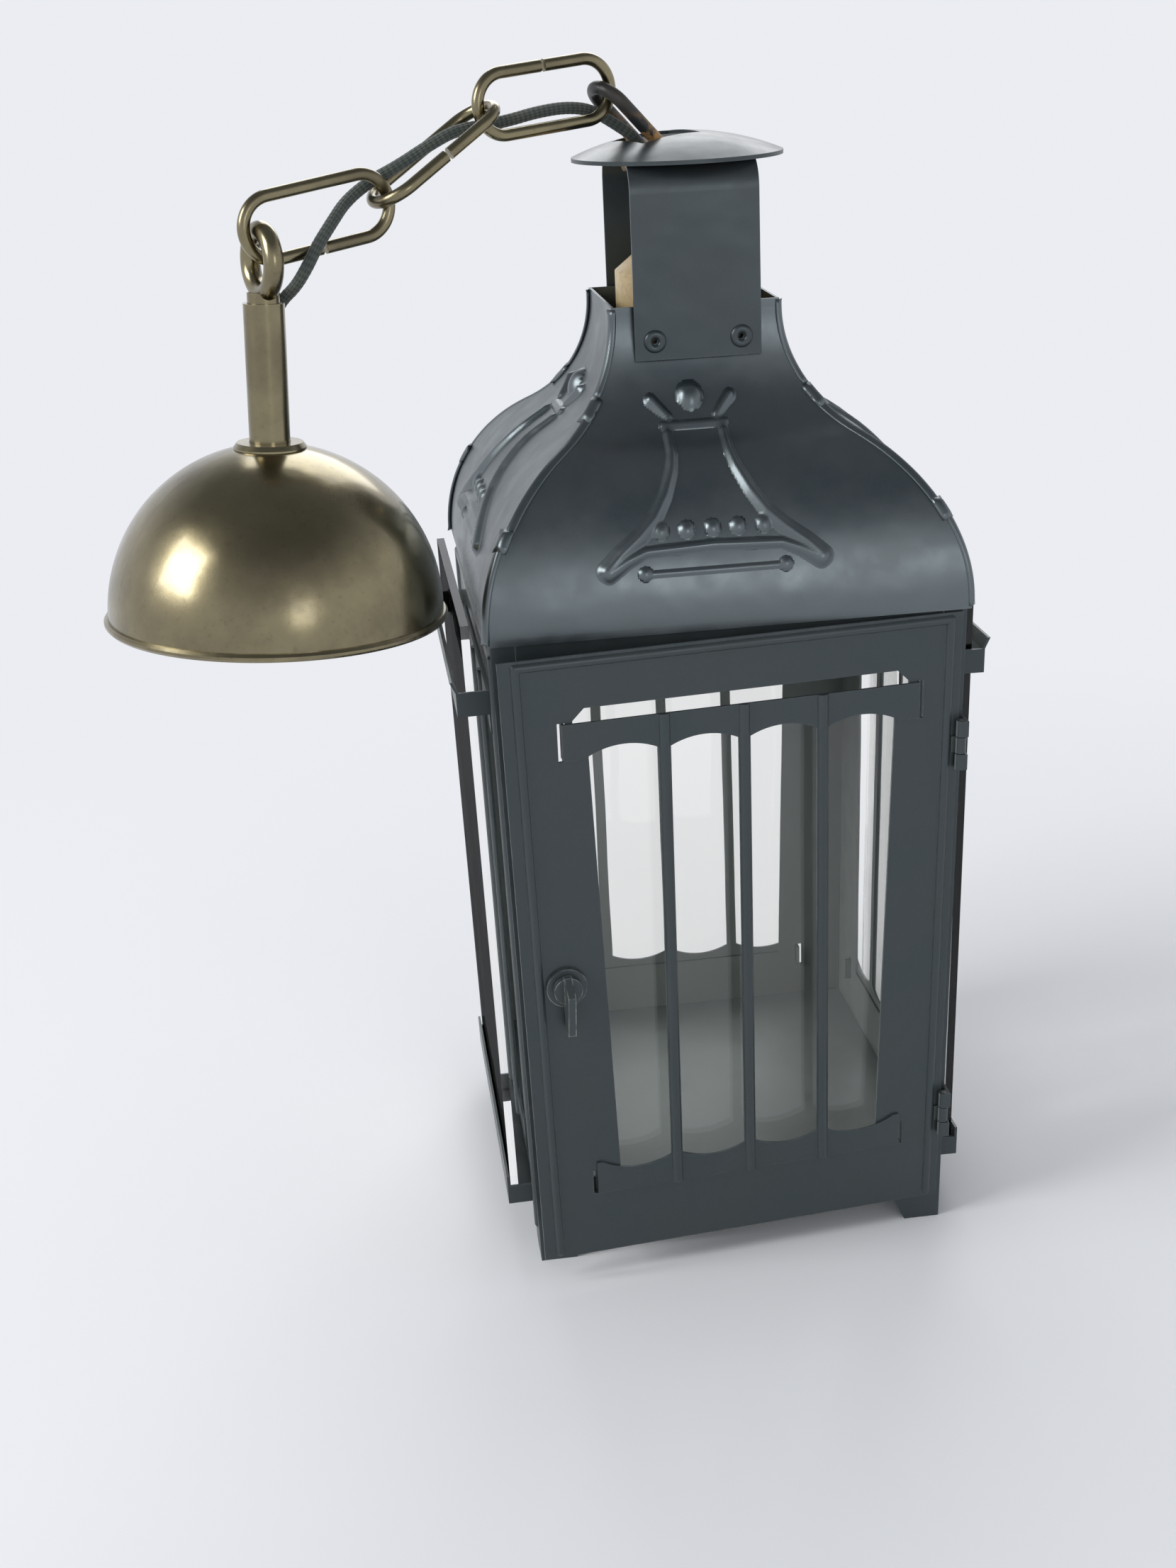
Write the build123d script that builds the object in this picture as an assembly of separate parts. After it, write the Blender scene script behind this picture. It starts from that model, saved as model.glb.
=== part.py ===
"""Square sheet-metal lantern with a hinged, barred door, glass panes in outside straps, an ogee roof and
an open neck, hung from a brass chain, stem and ceiling cup, with an electric lampholder in the neck.

Millimetres, +Z up, front towards -Y. Pieces are drawn from the foot plane and written out with the origin on
the middle of the floor plate's upper face, where a light would stand.
"""
import os
from math import asin, atan, atan2, cos, degrees, pi, radians, sin, sqrt, tan

from build123d import *

# Sheet and fits
SHEET = 0.8
GAP = 0.1
MOVE_GAP = 0.3

# Body
BASE_HALF = 66.5
EAVE_HALF = 70.5
EAVE_Z = 212.0
FLANGE = 7.0
FOOT_HEIGHT = 9.4
FOOT_WIDTH = 11.5
FOOT_SLANT = 4.5
FLOOR_TOP = 19.0
FLOOR_SKIRT = 8.0
HEADER_LOW = 203.5
LEAN = atan((EAVE_HALF - BASE_HALF) / EAVE_Z)
WALL_LENGTH = EAVE_Z / cos(LEAN)

# Window and grille
WINDOW_LOW = 37.0
WINDOW_HALF_LOW = 42.3
WINDOW_HALF_HIGH = 46.9
WINDOW_HALF_TOP = 51.0
WINDOW_TOP = 194.2
WINDOW_SHOULDER = 8.2
WINDOW_STEP = WINDOW_TOP - WINDOW_SHOULDER
WINDOW_CHAMFER = 3.5
BAR_PITCH = 24.1
BAR_WIDTH = 3.6
BAR_CROWN = 1.1
RAIL_HEIGHT = 11.2
RAIL_BELOW_TOP = 4.2
ARCH_RISE = 3.4
RAIL_TOP = WINDOW_TOP - RAIL_BELOW_TOP
RAIL_TIP = RAIL_TOP - RAIL_HEIGHT
RAIL_ARCH = RAIL_TIP + ARCH_RISE
RAIL_TOP_HALF = 54.3
SILL_OVERLAP = 5.5
SILL_BOTTOM = WINDOW_LOW - SILL_OVERLAP
SILL_TIP = SILL_BOTTOM + RAIL_HEIGHT
SILL_ARCH = SILL_TIP - ARCH_RISE
SILL_HALF = 50.0
TAB_DEPTH = 3.0
TAB_CLEARANCE = 0.3
SLOT_SIDE = 1.3

# Stamped bead round each face
BEAD_RADIUS = 1.5
BEAD_SINK = 0.5
BEAD_INSET = 5.0
BEAD_TOP_INSET = 6.5
DOOR_BEAD_TOP_INSET = 2.2
BEAD_FOOT = 11.5

# Glass and its straps
GLASS = 2.5
GLASS_HALF = 54.0
GLASS_STANDOFF = 4.8
GLASS_TOP = 213.0
STRAP_HALF = 57.0
UPPER_STRAP_LOW = 186.0
UPPER_STRAP_HEIGHT = 11.0
UPPER_STRAP_REACH = 10.5
STRAP_FLARE = 1.6
STRAP_FLARE_HEIGHT = 3.5
LOWER_STRAP_LOW = 17.0
LOWER_STRAP_HEIGHT = 10.0
LOWER_STRAP_REACH = 8.5

# Door
DOOR_AJAR = 5.2
DOOR_GAP = 0.3
DOOR_BOTTOM = 9.4
DOOR_TOP = 210.3
DOOR_HINGE_INSET = 1.3
DOOR_WINDOW_OFFSET = 1.5
DOOR_GLASS_HALF = 51.5
DOOR_GLASS_TOP = HEADER_LOW - 2 * MOVE_GAP
DOOR_STRAP_HALF = 54.5
DOOR_UPPER_STRAP_LOW = WINDOW_TOP + SHEET
DOOR_UPPER_STRAP_HEIGHT = 7.5
DOOR_STRAP_LOW = 22.5
HINGE_LOW = 41.0
HINGE_HIGH = 169.0
HINGE_LEVELS = (HINGE_LOW, HINGE_HIGH)
HINGE_RADIUS = 1.6
HINGE_PIN_RADIUS = 0.8
HINGE_PIN_CLEARANCE = 0.05
HINGE_KNUCKLE = 5.0
HINGE_LEAF = 2.6
HINGE_INSET = 1.0
HINGE_WRAP = 3.3

# Turn latch on the door
LATCH_INSET = 13.2
LATCH_V = 106.0
LATCH_PLATE_RADIUS = 6.3
LATCH_PLATE = 1.2
SPINDLE_RADIUS = 2.0
SPINDLE_CLEARANCE = 0.05
LATCH_HUB_RADIUS = 4.4
LATCH_HUB = 2.0
FIN_THICKNESS = 2.4
FIN_LENGTH = 16.0
FIN_REACH = 5.0
TONGUE_LENGTH = 11.0
TONGUE_WIDTH = 6.0
TONGUE = 1.2
TONGUE_BEHIND = 1.5

# Roof
ROOF_EAVE_HALF = 71.6
ROOF_LIP_BOTTOM = 210.9
ROOF_ARC_LOW = 213.0
ROOF_LOWER_RADIUS = 55.5
ROOF_TOP_HALF = 25.2
ROOF_ARC_HIGH = 295.0
ROOF_TOP = 297.5

# Neck
NECK_WIDTH = 38.0
NECK_HALF = 28.4
NECK_BOTTOM = 282.0
NECK_TOP = 338.5
NECK_BEND = 9.0
RIVET_Z = 287.5
RIVET_SPACING = 26.0
RIVET_RADIUS = 1.55
RIVET_BORE = 0.9
RIVET_HEAD_RADIUS = 3.4
RIVET_HEAD = 1.0
RIVET_CLEARANCE = 0.05

# Cap
CAP_RADIUS = 31.8
CAP_TOP = 345.0
CAP_RIM_TOP = 338.5
CAP_RIM_BOTTOM = 337.3
CAP_SHEET = 1.0
SLOT_BEHIND = 2.9
CAP_SLOT_AHEAD = 17.6
NECK_SLOT_AHEAD = 13.4
SLOT_HALF = 8.6

# Lampholder under its bridge
BRIDGE_Z = 318.0
BRIDGE_WIDTH = 12.0
BRIDGE = 1.2
BRIDGE_TAB = 8.0
NIPPLE_RADIUS = 5.0
NIPPLE_BORE = 3.8
NIPPLE_LOW = 308.0
NIPPLE_TOP = 324.0
NIPPLE_GRIP = 3.5
THREAD_CLEARANCE = 0.05
NUT_FLATS = 14.0
NUT_HEIGHT = 3.0
HOLDER_RADIUS = 20.0
HOLDER_SLOPE = 6.5
HOLDER_SIDE = 12.0
HOLDER_NECK_RADIUS = 12.0
HOLDER_BODY_RADIUS = 18.6
HOLDER_RING_RADIUS = 19.7
HOLDER_RING_HEIGHT = 5.0
HOLDER_WALL = 2.5
SHELL_BORE = 13.2
SHELL_WALL = 0.6
SHELL_LENGTH = 22.0
CONTACT_RADIUS = 4.0
CONTACT_THICKNESS = 1.0
CONTACT_SPRING = 9.5
HOLDER_TOP = NIPPLE_LOW + NIPPLE_GRIP
HOLDER_SHOULDER = HOLDER_TOP - HOLDER_SLOPE
HOLDER_SEAM = HOLDER_SHOULDER - HOLDER_SIDE
HOLDER_MOUTH = HOLDER_SEAM - HOLDER_WALL - CONTACT_SPRING - SHELL_LENGTH

# Chain, in a vertical plane through the cap that turns towards the front left
CHAIN_AZIMUTH = 24.0
WIRE = 1.75
LINK_LENGTH = 44.0
LINK_HALF = 8.5
LINK_CUT = 1.2
HANGER_WIRE = 2.0
HANGER_HALF = 6.0
HANGER_LENGTH = 37.5
HANGER_ANGLE = 44.2
LINK_2_ANGLE = -4.6
LINK_3_ANGLE = -31.4
LINK_4_ANGLE = -7.1
PIN_RADIUS = 1.5
PIN_OVERHANG = 5.5

# Stem and ceiling cup
EYE_WIRE = 2.75
EYE_RADIUS = 8.1
STEM_TILT = 3.5
STEM_RADIUS = 5.7
STEM_BORE = 4.6
STEM_LENGTH = 38.5
STEM_PLUG = 3.0
STEM_THREAD = 7.0
CUP_RADIUS = 47.5
CUP_SHEET = 1.0
CUP_RIM_RADIUS = 48.7
CUP_RIM_HEIGHT = 2.2
WASHER_RADIUS = 10.2
WASHER_HEIGHT = 1.0
CUP_NUT_FLATS = 17.0
CUP_NUT_HEIGHT = 3.5

# Fabric flex through the chain
FLEX_RADIUS = 1.75
FLEX_HOLE_CLEARANCE = 0.3
FLEX_AT_CAP = [
    (0.0, 0.0, 321.0), (2.4, -1.0, 326.6), (8.6, -3.8, 332.2), (11.0, -3.4, 338.0), (13.2, -1.2, 343.4),
]
FLEX_AT_LINK_2 = [(19.5, -1.8, 347.6), (26.5, -4.4, 352.3), (35.0, -4.3, 353.6), (45.0, -4.4, 352.9)]
FLEX_AT_LINK_3 = [(55.0, -4.9, 351.0), (64.5, -4.5, 350.2), (73.0, -3.4, 349.6), (82.0, -3.2, 346.0)]
FLEX_AT_LINK_4 = [(91.0, -3.6, 342.2), (98.8, -5.4, 338.8), (106.5, -3.4, 335.0), (113.5, 2.2, 329.3)]
FLEX_AT_STEM = [
    (119.0, 4.6, 322.8), (122.5, 3.2, 317.6), (126.0, -1.5, 312.5), (129.5, -5.2, 308.5), (134.2, -3.6, 302.5),
    (136.8, -0.5, 296.0),
]
FLEX = [FLEX_AT_CAP, FLEX_AT_LINK_2, FLEX_AT_LINK_3, FLEX_AT_LINK_4, FLEX_AT_STEM]
RUN_SHARE = 0.45

FRONT, RIGHT, BACK, LEFT = range(4)
parts = {}


def wall_location(side):
    """The frame of one leaning wall: X along the wall, Y up its slope, Z outwards from its outer face."""
    outwards = (0, -cos(LEAN), -sin(LEAN))
    front = Plane(origin=(0, -BASE_HALF, 0), x_dir=(1, 0, 0), z_dir=outwards)
    return Rot(0, 0, 90 * side) * front.location


WALL = [wall_location(side) for side in range(4)]


def half(v):
    """Half the wall's width at a height v up its slope."""
    return BASE_HALF + sin(LEAN) * v


def slab(low, high):
    """A box from its lowest to its highest corner."""
    size = [b - a for a, b in zip(low, high)]
    return Pos(*low) * Box(*size, align=(Align.MIN, Align.MIN, Align.MIN))


def sheet(points, low, high):
    """A flat sheet with this outline, between two levels outwards."""
    return Pos(0, 0, low) * extrude(make_face(Polyline(*points, close=True)), high - low)


def rod(start, end, radius):
    """A round rod between two points."""
    run = Vector(*end) - Vector(*start)
    return extrude(Plane(origin=start, z_dir=run) * Circle(radius), run.length)


def ring(outer, inner, low, high):
    """A round washer or tube on the Z axis."""
    return Pos(0, 0, low) * extrude(Circle(outer) - Circle(inner), high - low)


def hex_nut(flats, bore, low, high):
    """A hexagon nut on the Z axis."""
    return Pos(0, 0, low) * extrude(RegularPolygon(flats / 2, 6, major_radius=False) - Circle(bore), high - low)


# Walls, windows, beads and grilles

def window_outline(middle):
    """The opening in a face: tapered sides, a wider top with cut corners."""
    right = [
        (WINDOW_HALF_LOW, WINDOW_LOW), (WINDOW_HALF_HIGH, WINDOW_STEP), (WINDOW_HALF_TOP, WINDOW_STEP),
        (WINDOW_HALF_TOP, WINDOW_TOP - WINDOW_CHAMFER), (WINDOW_HALF_TOP - WINDOW_CHAMFER, WINDOW_TOP),
    ]
    left = [(-u, v) for u, v in reversed(right)]
    return [(middle + u, v) for u, v in right + left]


def tab_places(middle):
    """Where the grille's bent ends pass through the face: side, middle of the tab, low end and high end."""
    for sign in (-1, 1):
        yield sign, middle + sign * (RAIL_TOP_HALF - SHEET / 2), RAIL_TIP, RAIL_TOP
        yield sign, middle + sign * (SILL_HALF - SHEET / 2), SILL_BOTTOM, SILL_ARCH


def cut_face(face, middle, low, high):
    """Cut the window and the grille's slots through a face between two levels."""
    face -= sheet(window_outline(middle), low, high)
    for sign, u, v_low, v_high in tab_places(middle):
        near = u - sign * (SHEET / 2 + TAB_CLEARANCE)
        far = u + sign * (SHEET / 2 + SLOT_SIDE)
        left, right = sorted((near, far))
        face -= slab((left, v_low - TAB_CLEARANCE, low), (right, v_high + TAB_CLEARANCE, high))
    return face


def bead(level, top):
    """A stamped bead down both sides and along the top of a face whose outer side is at this level."""
    axis = level - BEAD_SINK
    corners = [
        (sign * (half(v) - BEAD_INSET), v, axis)
        for sign, v in ((-1, BEAD_FOOT), (-1, top), (1, top), (1, BEAD_FOOT))
    ]
    ridge = Part()
    for start, end in zip(corners, corners[1:]):
        ridge += rod(start, end, BEAD_RADIUS)
    for corner in corners:
        ridge += Pos(*corner) * Sphere(BEAD_RADIUS)
    reach = 2 * EAVE_HALF
    return ridge - slab((-reach, -reach, level - SHEET - reach), (reach, 2 * reach, level - SHEET / 2))


def scallops(middle, end, tip, arch):
    """A rail's scalloped edge from left to right: a tip at each bar and an arch between bars."""
    tips = [middle + k * BAR_PITCH for k in range(-2, 3)]
    edges = [Line((middle - end, tip), (tips[0], tip))]
    for a, b in zip(tips, tips[1:]):
        edges.append(ThreePointArc((a, tip), ((a + b) / 2, arch), (b, tip)))
    edges.append(Line((tips[-1], tip), (middle + end, tip)))
    return edges


def rail(middle, end, straight, tip, arch):
    """A flat rail with one straight and one scalloped edge."""
    edges = scallops(middle, end, tip, arch)
    left, right = middle - end, middle + end
    edges.append(Polyline((right, tip), (right, straight), (left, straight), (left, tip)))
    return make_face(edges)


def bar_crown(u, face):
    """The rounded front of one bar, standing on the grille's face from sill to rail."""
    base = BAR_WIDTH / 2 - GAP
    radius = (base ** 2 + BAR_CROWN ** 2) / (2 * BAR_CROWN)
    axis = face + BAR_CROWN - radius
    crown = rod((u, SILL_BOTTOM, axis), (u, RAIL_TOP, axis), radius)
    return crown - slab((u - BAR_WIDTH, 0, axis - BAR_WIDTH), (u + BAR_WIDTH, WALL_LENGTH, face - GAP))


def grille(middle, level):
    """A stamped grille on a face: two scalloped rails, three rounded bars and four bent tabs."""
    flat = rail(middle, RAIL_TOP_HALF, RAIL_TOP, RAIL_TIP, RAIL_ARCH)
    flat += rail(middle, SILL_HALF, SILL_BOTTOM, SILL_TIP, SILL_ARCH)
    bar_low = (SILL_BOTTOM + SILL_ARCH) / 2
    bar_high = (RAIL_TOP + RAIL_ARCH) / 2
    for k in (-1, 0, 1):
        bar = Rectangle(BAR_WIDTH, bar_high - bar_low)
        flat += Pos(middle + k * BAR_PITCH, (bar_low + bar_high) / 2) * bar
    body = Pos(0, 0, level) * extrude(flat, SHEET)
    for k in (-1, 0, 1):
        body += bar_crown(middle + k * BAR_PITCH, level + SHEET)
    for _, u, v_low, v_high in tab_places(middle):
        body += slab((u - SHEET / 2, v_low, level - TAB_DEPTH), (u + SHEET / 2, v_high, level + SHEET))
    return body


def wall_outline(edge):
    """A wall with two corner feet; edge is how far the sheet stops short of the corner."""
    foot = [
        (half(0) - edge, -GAP), (half(0) - FOOT_WIDTH, -GAP), (half(0) - FOOT_WIDTH - FOOT_SLANT, FOOT_HEIGHT),
    ]
    right = [(half(WALL_LENGTH) - edge, WALL_LENGTH)] + foot
    left = [(-u, v) for u, v in reversed(right)]
    return right + left


def front_flange(sign):
    """The strip that a side wall turns round the front corner, wider at its foot."""
    points = [
        (half(0), -GAP), (half(0) - FOOT_WIDTH, -GAP), (half(0) - FOOT_WIDTH - FOOT_SLANT, FOOT_HEIGHT),
        (half(0) - FOOT_WIDTH - FOOT_SLANT, FLOOR_TOP - FLOOR_SKIRT), (half(FLOOR_TOP) - FLANGE, FLOOR_TOP),
        (half(WALL_LENGTH) - FLANGE, WALL_LENGTH), (half(WALL_LENGTH), WALL_LENGTH),
    ]
    return sheet([(sign * u, v) for u, v in points], -SHEET, 0)


def wall(edge):
    """A wall sheet with its window, slots and bead."""
    face = sheet(wall_outline(edge), -SHEET, 0) + bead(0, WALL_LENGTH - BEAD_TOP_INSET)
    return cut_face(face, 0, -2 * SHEET, 2 * BEAD_RADIUS)


def make_walls():
    reach = 2 * EAVE_HALF
    ground = slab((-reach, -reach, -SHEET), (reach, reach, 0))
    for side, name, sign in ((RIGHT, "right", 1), (LEFT, "left", -1)):
        panel = WALL[side] * wall(0) + WALL[FRONT] * front_flange(sign)
        parts[f"{name}_panel"] = panel - ground
    parts["back_panel"] = WALL[BACK] * wall(SHEET + GAP) - ground
    reach = half(HEADER_LOW) - FLANGE - GAP
    parts["front_header"] = WALL[FRONT] * slab((-reach, HEADER_LOW, -SHEET), (reach, WALL_LENGTH, 0))
    for side, name in ((RIGHT, "right"), (BACK, "back"), (LEFT, "left")):
        parts[f"{name}_grille"] = WALL[side] * grille(0, 0)


# Glass panes in bent straps

def strap(level, outwards, reach, low, height, span, flare):
    """A bent strap on a face at this level: two legs and a web, with a flared upper edge."""
    def place(distance):
        return level + outwards * distance

    bend = low + height - STRAP_FLARE_HEIGHT
    top = low + height
    section = [
        (low, reach - SHEET), (low, reach), (bend, reach), (top, reach + flare), (top, reach + flare - SHEET),
        (bend, reach - SHEET),
    ]
    web_face = Plane.YZ * make_face(Polyline(*[(v, place(w)) for v, w in section], close=True))
    body = extrude(web_face, span, both=True)
    for sign in (-1, 1):
        inner, outer = sorted((sign * (span - SHEET), sign * span))
        near, far = sorted((place(0), place(reach)))
        body += slab((inner, low, near), (outer, bend, far))
    return body


def lower_strap(level, outwards, low, span):
    """The lower strap carries the pane on a folded shelf."""
    body = strap(level, outwards, LOWER_STRAP_REACH, low, LOWER_STRAP_HEIGHT, span, 0)
    near, far = sorted((level, level + outwards * LOWER_STRAP_REACH))
    return body + slab((-span, low, near), (span, low + SHEET, far))


def pane(level, outwards, low, top, span):
    """A plain glass pane, standing off its face."""
    near, far = sorted((level + outwards * GLASS_STANDOFF, level + outwards * (GLASS_STANDOFF + GLASS)))
    return slab((-span, low, near), (span, top, far))


def make_glazing():
    for side, name in ((RIGHT, "right"), (BACK, "back"), (LEFT, "left")):
        upper = strap(0, 1, UPPER_STRAP_REACH, UPPER_STRAP_LOW, UPPER_STRAP_HEIGHT, STRAP_HALF, STRAP_FLARE)
        parts[f"{name}_upper_strap"] = WALL[side] * upper
        parts[f"{name}_lower_strap"] = WALL[side] * lower_strap(0, 1, LOWER_STRAP_LOW, STRAP_HALF)
        glass = pane(0, 1, LOWER_STRAP_LOW + SHEET + GAP, GLASS_TOP, GLASS_HALF)
        parts[f"{name}_glass"] = WALL[side] * glass


# Floor

def make_floor():
    low = FLOOR_TOP - FLOOR_SKIRT
    reach = half(low) - SHEET - GAP
    tray = slab((-reach, -reach, low), (reach, reach, FLOOR_TOP))
    inner = reach - SHEET
    tray -= slab((-inner, -inner, low - SHEET), (inner, inner, FLOOR_TOP - SHEET))
    parts["floor_plate"] = tray


# Door, hinges and latch

DOOR_INNER = DOOR_GAP
DOOR_OUTER = DOOR_GAP + SHEET
LATCH_U = LATCH_INSET - half(LATCH_V)
HINGE_LEVEL = DOOR_OUTER + HINGE_RADIUS + GAP


def hinge_point(v):
    """A point of the hinge line in the front wall's frame, along the slanting right edge."""
    return (half(v) - HINGE_INSET, v, HINGE_LEVEL)


def hinge_axis():
    """The hinge line in the lantern's frame."""
    low, high = [(WALL[FRONT] * Pos(*hinge_point(v))).position for v in (0, WALL_LENGTH)]
    return Axis(low, high - low)


def ajar(piece):
    """Swing a piece that was drawn on the closed door out to where the door stands."""
    return (WALL[FRONT] * piece).rotate(hinge_axis(), DOOR_AJAR)


def knuckle(v, length, bore):
    """A length of hinge barrel about a level on the hinge line."""
    start, end = hinge_point(v - length / 2), hinge_point(v + length / 2)
    return rod(start, end, HINGE_RADIUS) - rod(start, end, bore)


def door_sheet():
    outline = [
        (half(DOOR_BOTTOM) - DOOR_HINGE_INSET, DOOR_BOTTOM), (half(DOOR_TOP) - DOOR_HINGE_INSET, DOOR_TOP),
        (-half(DOOR_TOP), DOOR_TOP), (-half(DOOR_BOTTOM), DOOR_BOTTOM),
    ]
    face = sheet(outline, DOOR_INNER, DOOR_OUTER) + bead(DOOR_OUTER, DOOR_TOP - DOOR_BEAD_TOP_INSET)
    face = cut_face(face, DOOR_WINDOW_OFFSET, DOOR_INNER - SHEET, DOOR_OUTER + 2 * BEAD_RADIUS)
    hole = SPINDLE_RADIUS + SPINDLE_CLEARANCE
    face -= rod((LATCH_U, LATCH_V, -SHEET), (LATCH_U, LATCH_V, DOOR_OUTER + SHEET), hole)
    bore = HINGE_PIN_RADIUS + HINGE_PIN_CLEARANCE
    for v in HINGE_LEVELS:
        u = half(v) - HINGE_INSET
        leaf_low = v - HINGE_KNUCKLE / 2
        leaf_high = v + HINGE_KNUCKLE / 2
        leaf = slab((u - HINGE_LEAF, leaf_low, DOOR_INNER), (u, leaf_high, DOOR_OUTER + SHEET))
        leaf -= rod(hinge_point(leaf_low - SHEET), hinge_point(leaf_high + SHEET), bore)
        face += leaf + knuckle(v, HINGE_KNUCKLE, bore)
    return face


def body_hinges():
    """On the corner of the right wall, a pair of knuckles above and below each knuckle of the door."""
    leaves = Part()
    bore = HINGE_PIN_RADIUS + HINGE_PIN_CLEARANCE
    for v in HINGE_LEVELS:
        for sign in (-1, 1):
            middle = v + sign * (HINGE_KNUCKLE + MOVE_GAP)
            low = middle - HINGE_KNUCKLE / 2
            high = middle + HINGE_KNUCKLE / 2
            side = half(high) + GAP / 2
            leaf = slab((side, low, -HINGE_WRAP), (side + SHEET, high, HINGE_LEVEL))
            inner = side - half(v) + HINGE_INSET
            lug = slab((side - inner, low, HINGE_LEVEL), (side + SHEET, high, HINGE_LEVEL + HINGE_RADIUS))
            lug &= rod(hinge_point(low), hinge_point(high), HINGE_RADIUS + SHEET)
            shape = leaf + lug + knuckle(middle, HINGE_KNUCKLE, bore)
            shape -= rod(hinge_point(low - SHEET), hinge_point(high + SHEET), bore)
            leaves += shape
    return leaves


def make_door():
    parts["door_panel"] = ajar(door_sheet())
    parts["door_grille"] = ajar(grille(DOOR_WINDOW_OFFSET, DOOR_OUTER))
    span = DOOR_STRAP_HALF
    low, height = DOOR_UPPER_STRAP_LOW, DOOR_UPPER_STRAP_HEIGHT
    upper = strap(DOOR_INNER, -1, LOWER_STRAP_REACH, low, height, span, 0)
    parts["door_upper_strap"] = ajar(upper)
    parts["door_lower_strap"] = ajar(lower_strap(DOOR_INNER, -1, DOOR_STRAP_LOW, span))
    glass = pane(DOOR_INNER, -1, DOOR_STRAP_LOW + SHEET + GAP, DOOR_GLASS_TOP, DOOR_GLASS_HALF)
    parts["door_glass"] = ajar(glass)
    pins = Part()
    reach = 1.5 * HINGE_KNUCKLE + MOVE_GAP
    for v in HINGE_LEVELS:
        pins += rod(hinge_point(v - reach), hinge_point(v + reach), HINGE_PIN_RADIUS)
    parts["hinge_pins"] = WALL[FRONT] * pins
    parts["hinge_leaves"] = WALL[FRONT] * body_hinges()


def make_latch():
    at = Pos(LATCH_U, LATCH_V, 0)
    plate_top = DOOR_OUTER + LATCH_PLATE
    hole = SPINDLE_RADIUS + SPINDLE_CLEARANCE
    plate = ring(LATCH_PLATE_RADIUS, hole, DOOR_OUTER, plate_top)
    parts["latch_plate"] = ajar(at * plate)
    hub_low = plate_top + MOVE_GAP
    hub_top = hub_low + LATCH_HUB
    tongue_top = -TONGUE_BEHIND
    tongue_low = tongue_top - TONGUE
    knob = rod((0, 0, tongue_top), (0, 0, hub_top), SPINDLE_RADIUS)
    knob += rod((0, 0, hub_low), (0, 0, hub_top), LATCH_HUB_RADIUS)
    fin_outline = [
        (LATCH_HUB_RADIUS, hub_low), (LATCH_HUB_RADIUS, hub_top), (0, hub_top + FIN_REACH),
        (SPINDLE_RADIUS - FIN_LENGTH, hub_top + FIN_REACH / 2), (SPINDLE_RADIUS - FIN_LENGTH, hub_low),
    ]
    fin = extrude(Plane.YZ * make_face(Polyline(*fin_outline, close=True)), FIN_THICKNESS / 2, both=True)
    parts["latch_knob"] = ajar(at * (knob + fin))
    blade = slab((-TONGUE_WIDTH / 2, -TONGUE_LENGTH, tongue_low), (TONGUE_WIDTH / 2, 0, tongue_top))
    blade += ring(TONGUE_WIDTH / 2, SPINDLE_RADIUS / 2, tongue_low, tongue_top)
    parts["latch_tongue"] = ajar(at * blade)


# Roof

def roof_profile():
    """Half of the roof's section, as a closed band: eave lip, two tangent arcs and an upright collar."""
    run = ROOF_EAVE_HALF - ROOF_TOP_HALF
    rise = ROOF_ARC_HIGH - ROOF_ARC_LOW
    radii = (run ** 2 + rise ** 2) / (2 * run)
    upper = radii - ROOF_LOWER_RADIUS
    low_x = ROOF_EAVE_HALF - ROOF_LOWER_RADIUS
    high_x = ROOF_TOP_HALF + upper
    turn = atan2(rise, high_x - low_x)

    def at(x, z, radius, angle):
        return (x + radius * cos(angle), z + radius * sin(angle))

    edges = []
    for inset in (0, SHEET):
        lower = ROOF_LOWER_RADIUS - inset
        higher = upper + inset
        foot = (ROOF_EAVE_HALF - inset, ROOF_LIP_BOTTOM)
        join = at(low_x, ROOF_ARC_LOW, lower, turn)
        top = (ROOF_TOP_HALF - inset, ROOF_TOP)
        edges.append(Line(foot, (foot[0], ROOF_ARC_LOW)))
        edges.append(ThreePointArc((foot[0], ROOF_ARC_LOW), at(low_x, ROOF_ARC_LOW, lower, turn / 2), join))
        middle = at(high_x, ROOF_ARC_HIGH, higher, (pi + turn) / 2 + pi / 2)
        edges.append(ThreePointArc(join, middle, (top[0], ROOF_ARC_HIGH)))
        edges.append(Line((top[0], ROOF_ARC_HIGH), top))
    edges.append(Line((ROOF_EAVE_HALF, ROOF_LIP_BOTTOM), (ROOF_EAVE_HALF - SHEET, ROOF_LIP_BOTTOM)))
    edges.append(Line((ROOF_TOP_HALF, ROOF_TOP), (ROOF_TOP_HALF - SHEET, ROOF_TOP)))
    return make_face(edges)


def make_roof():
    reach = ROOF_EAVE_HALF + SHEET
    band = extrude(Plane.YZ * roof_profile(), reach, both=True)
    quarter = make_face(Polyline((0, GAP), (reach, reach + GAP), (-reach, reach + GAP), close=True))
    wedge = extrude(quarter, 2 * EAVE_Z)
    gable = band & wedge
    drill = RIVET_RADIUS + RIVET_CLEARANCE
    for turns, name in ((0, "back"), (1, "left"), (2, "front"), (3, "right")):
        panel = gable
        if name in ("front", "back"):
            for x in (-RIVET_SPACING / 2, RIVET_SPACING / 2):
                panel = panel - rod((x, 0, RIVET_Z), (x, NECK_HALF, RIVET_Z), drill)
        parts[f"roof_{name}"] = Rot(0, 0, 90 * turns) * panel


# Neck, cap and lampholder

CHAIN = Plane(
    origin=(0, 0, 0),
    x_dir=(-cos(radians(CHAIN_AZIMUTH)), -sin(radians(CHAIN_AZIMUTH)), 0),
    z_dir=(0, 0, 1),
).location


def chain_slot(ahead, low, high):
    """The slot for the hanger and the flex, along the chain's direction."""
    return CHAIN * slab((-SLOT_BEHIND, -SLOT_HALF, low), (ahead, SLOT_HALF, high))


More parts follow.
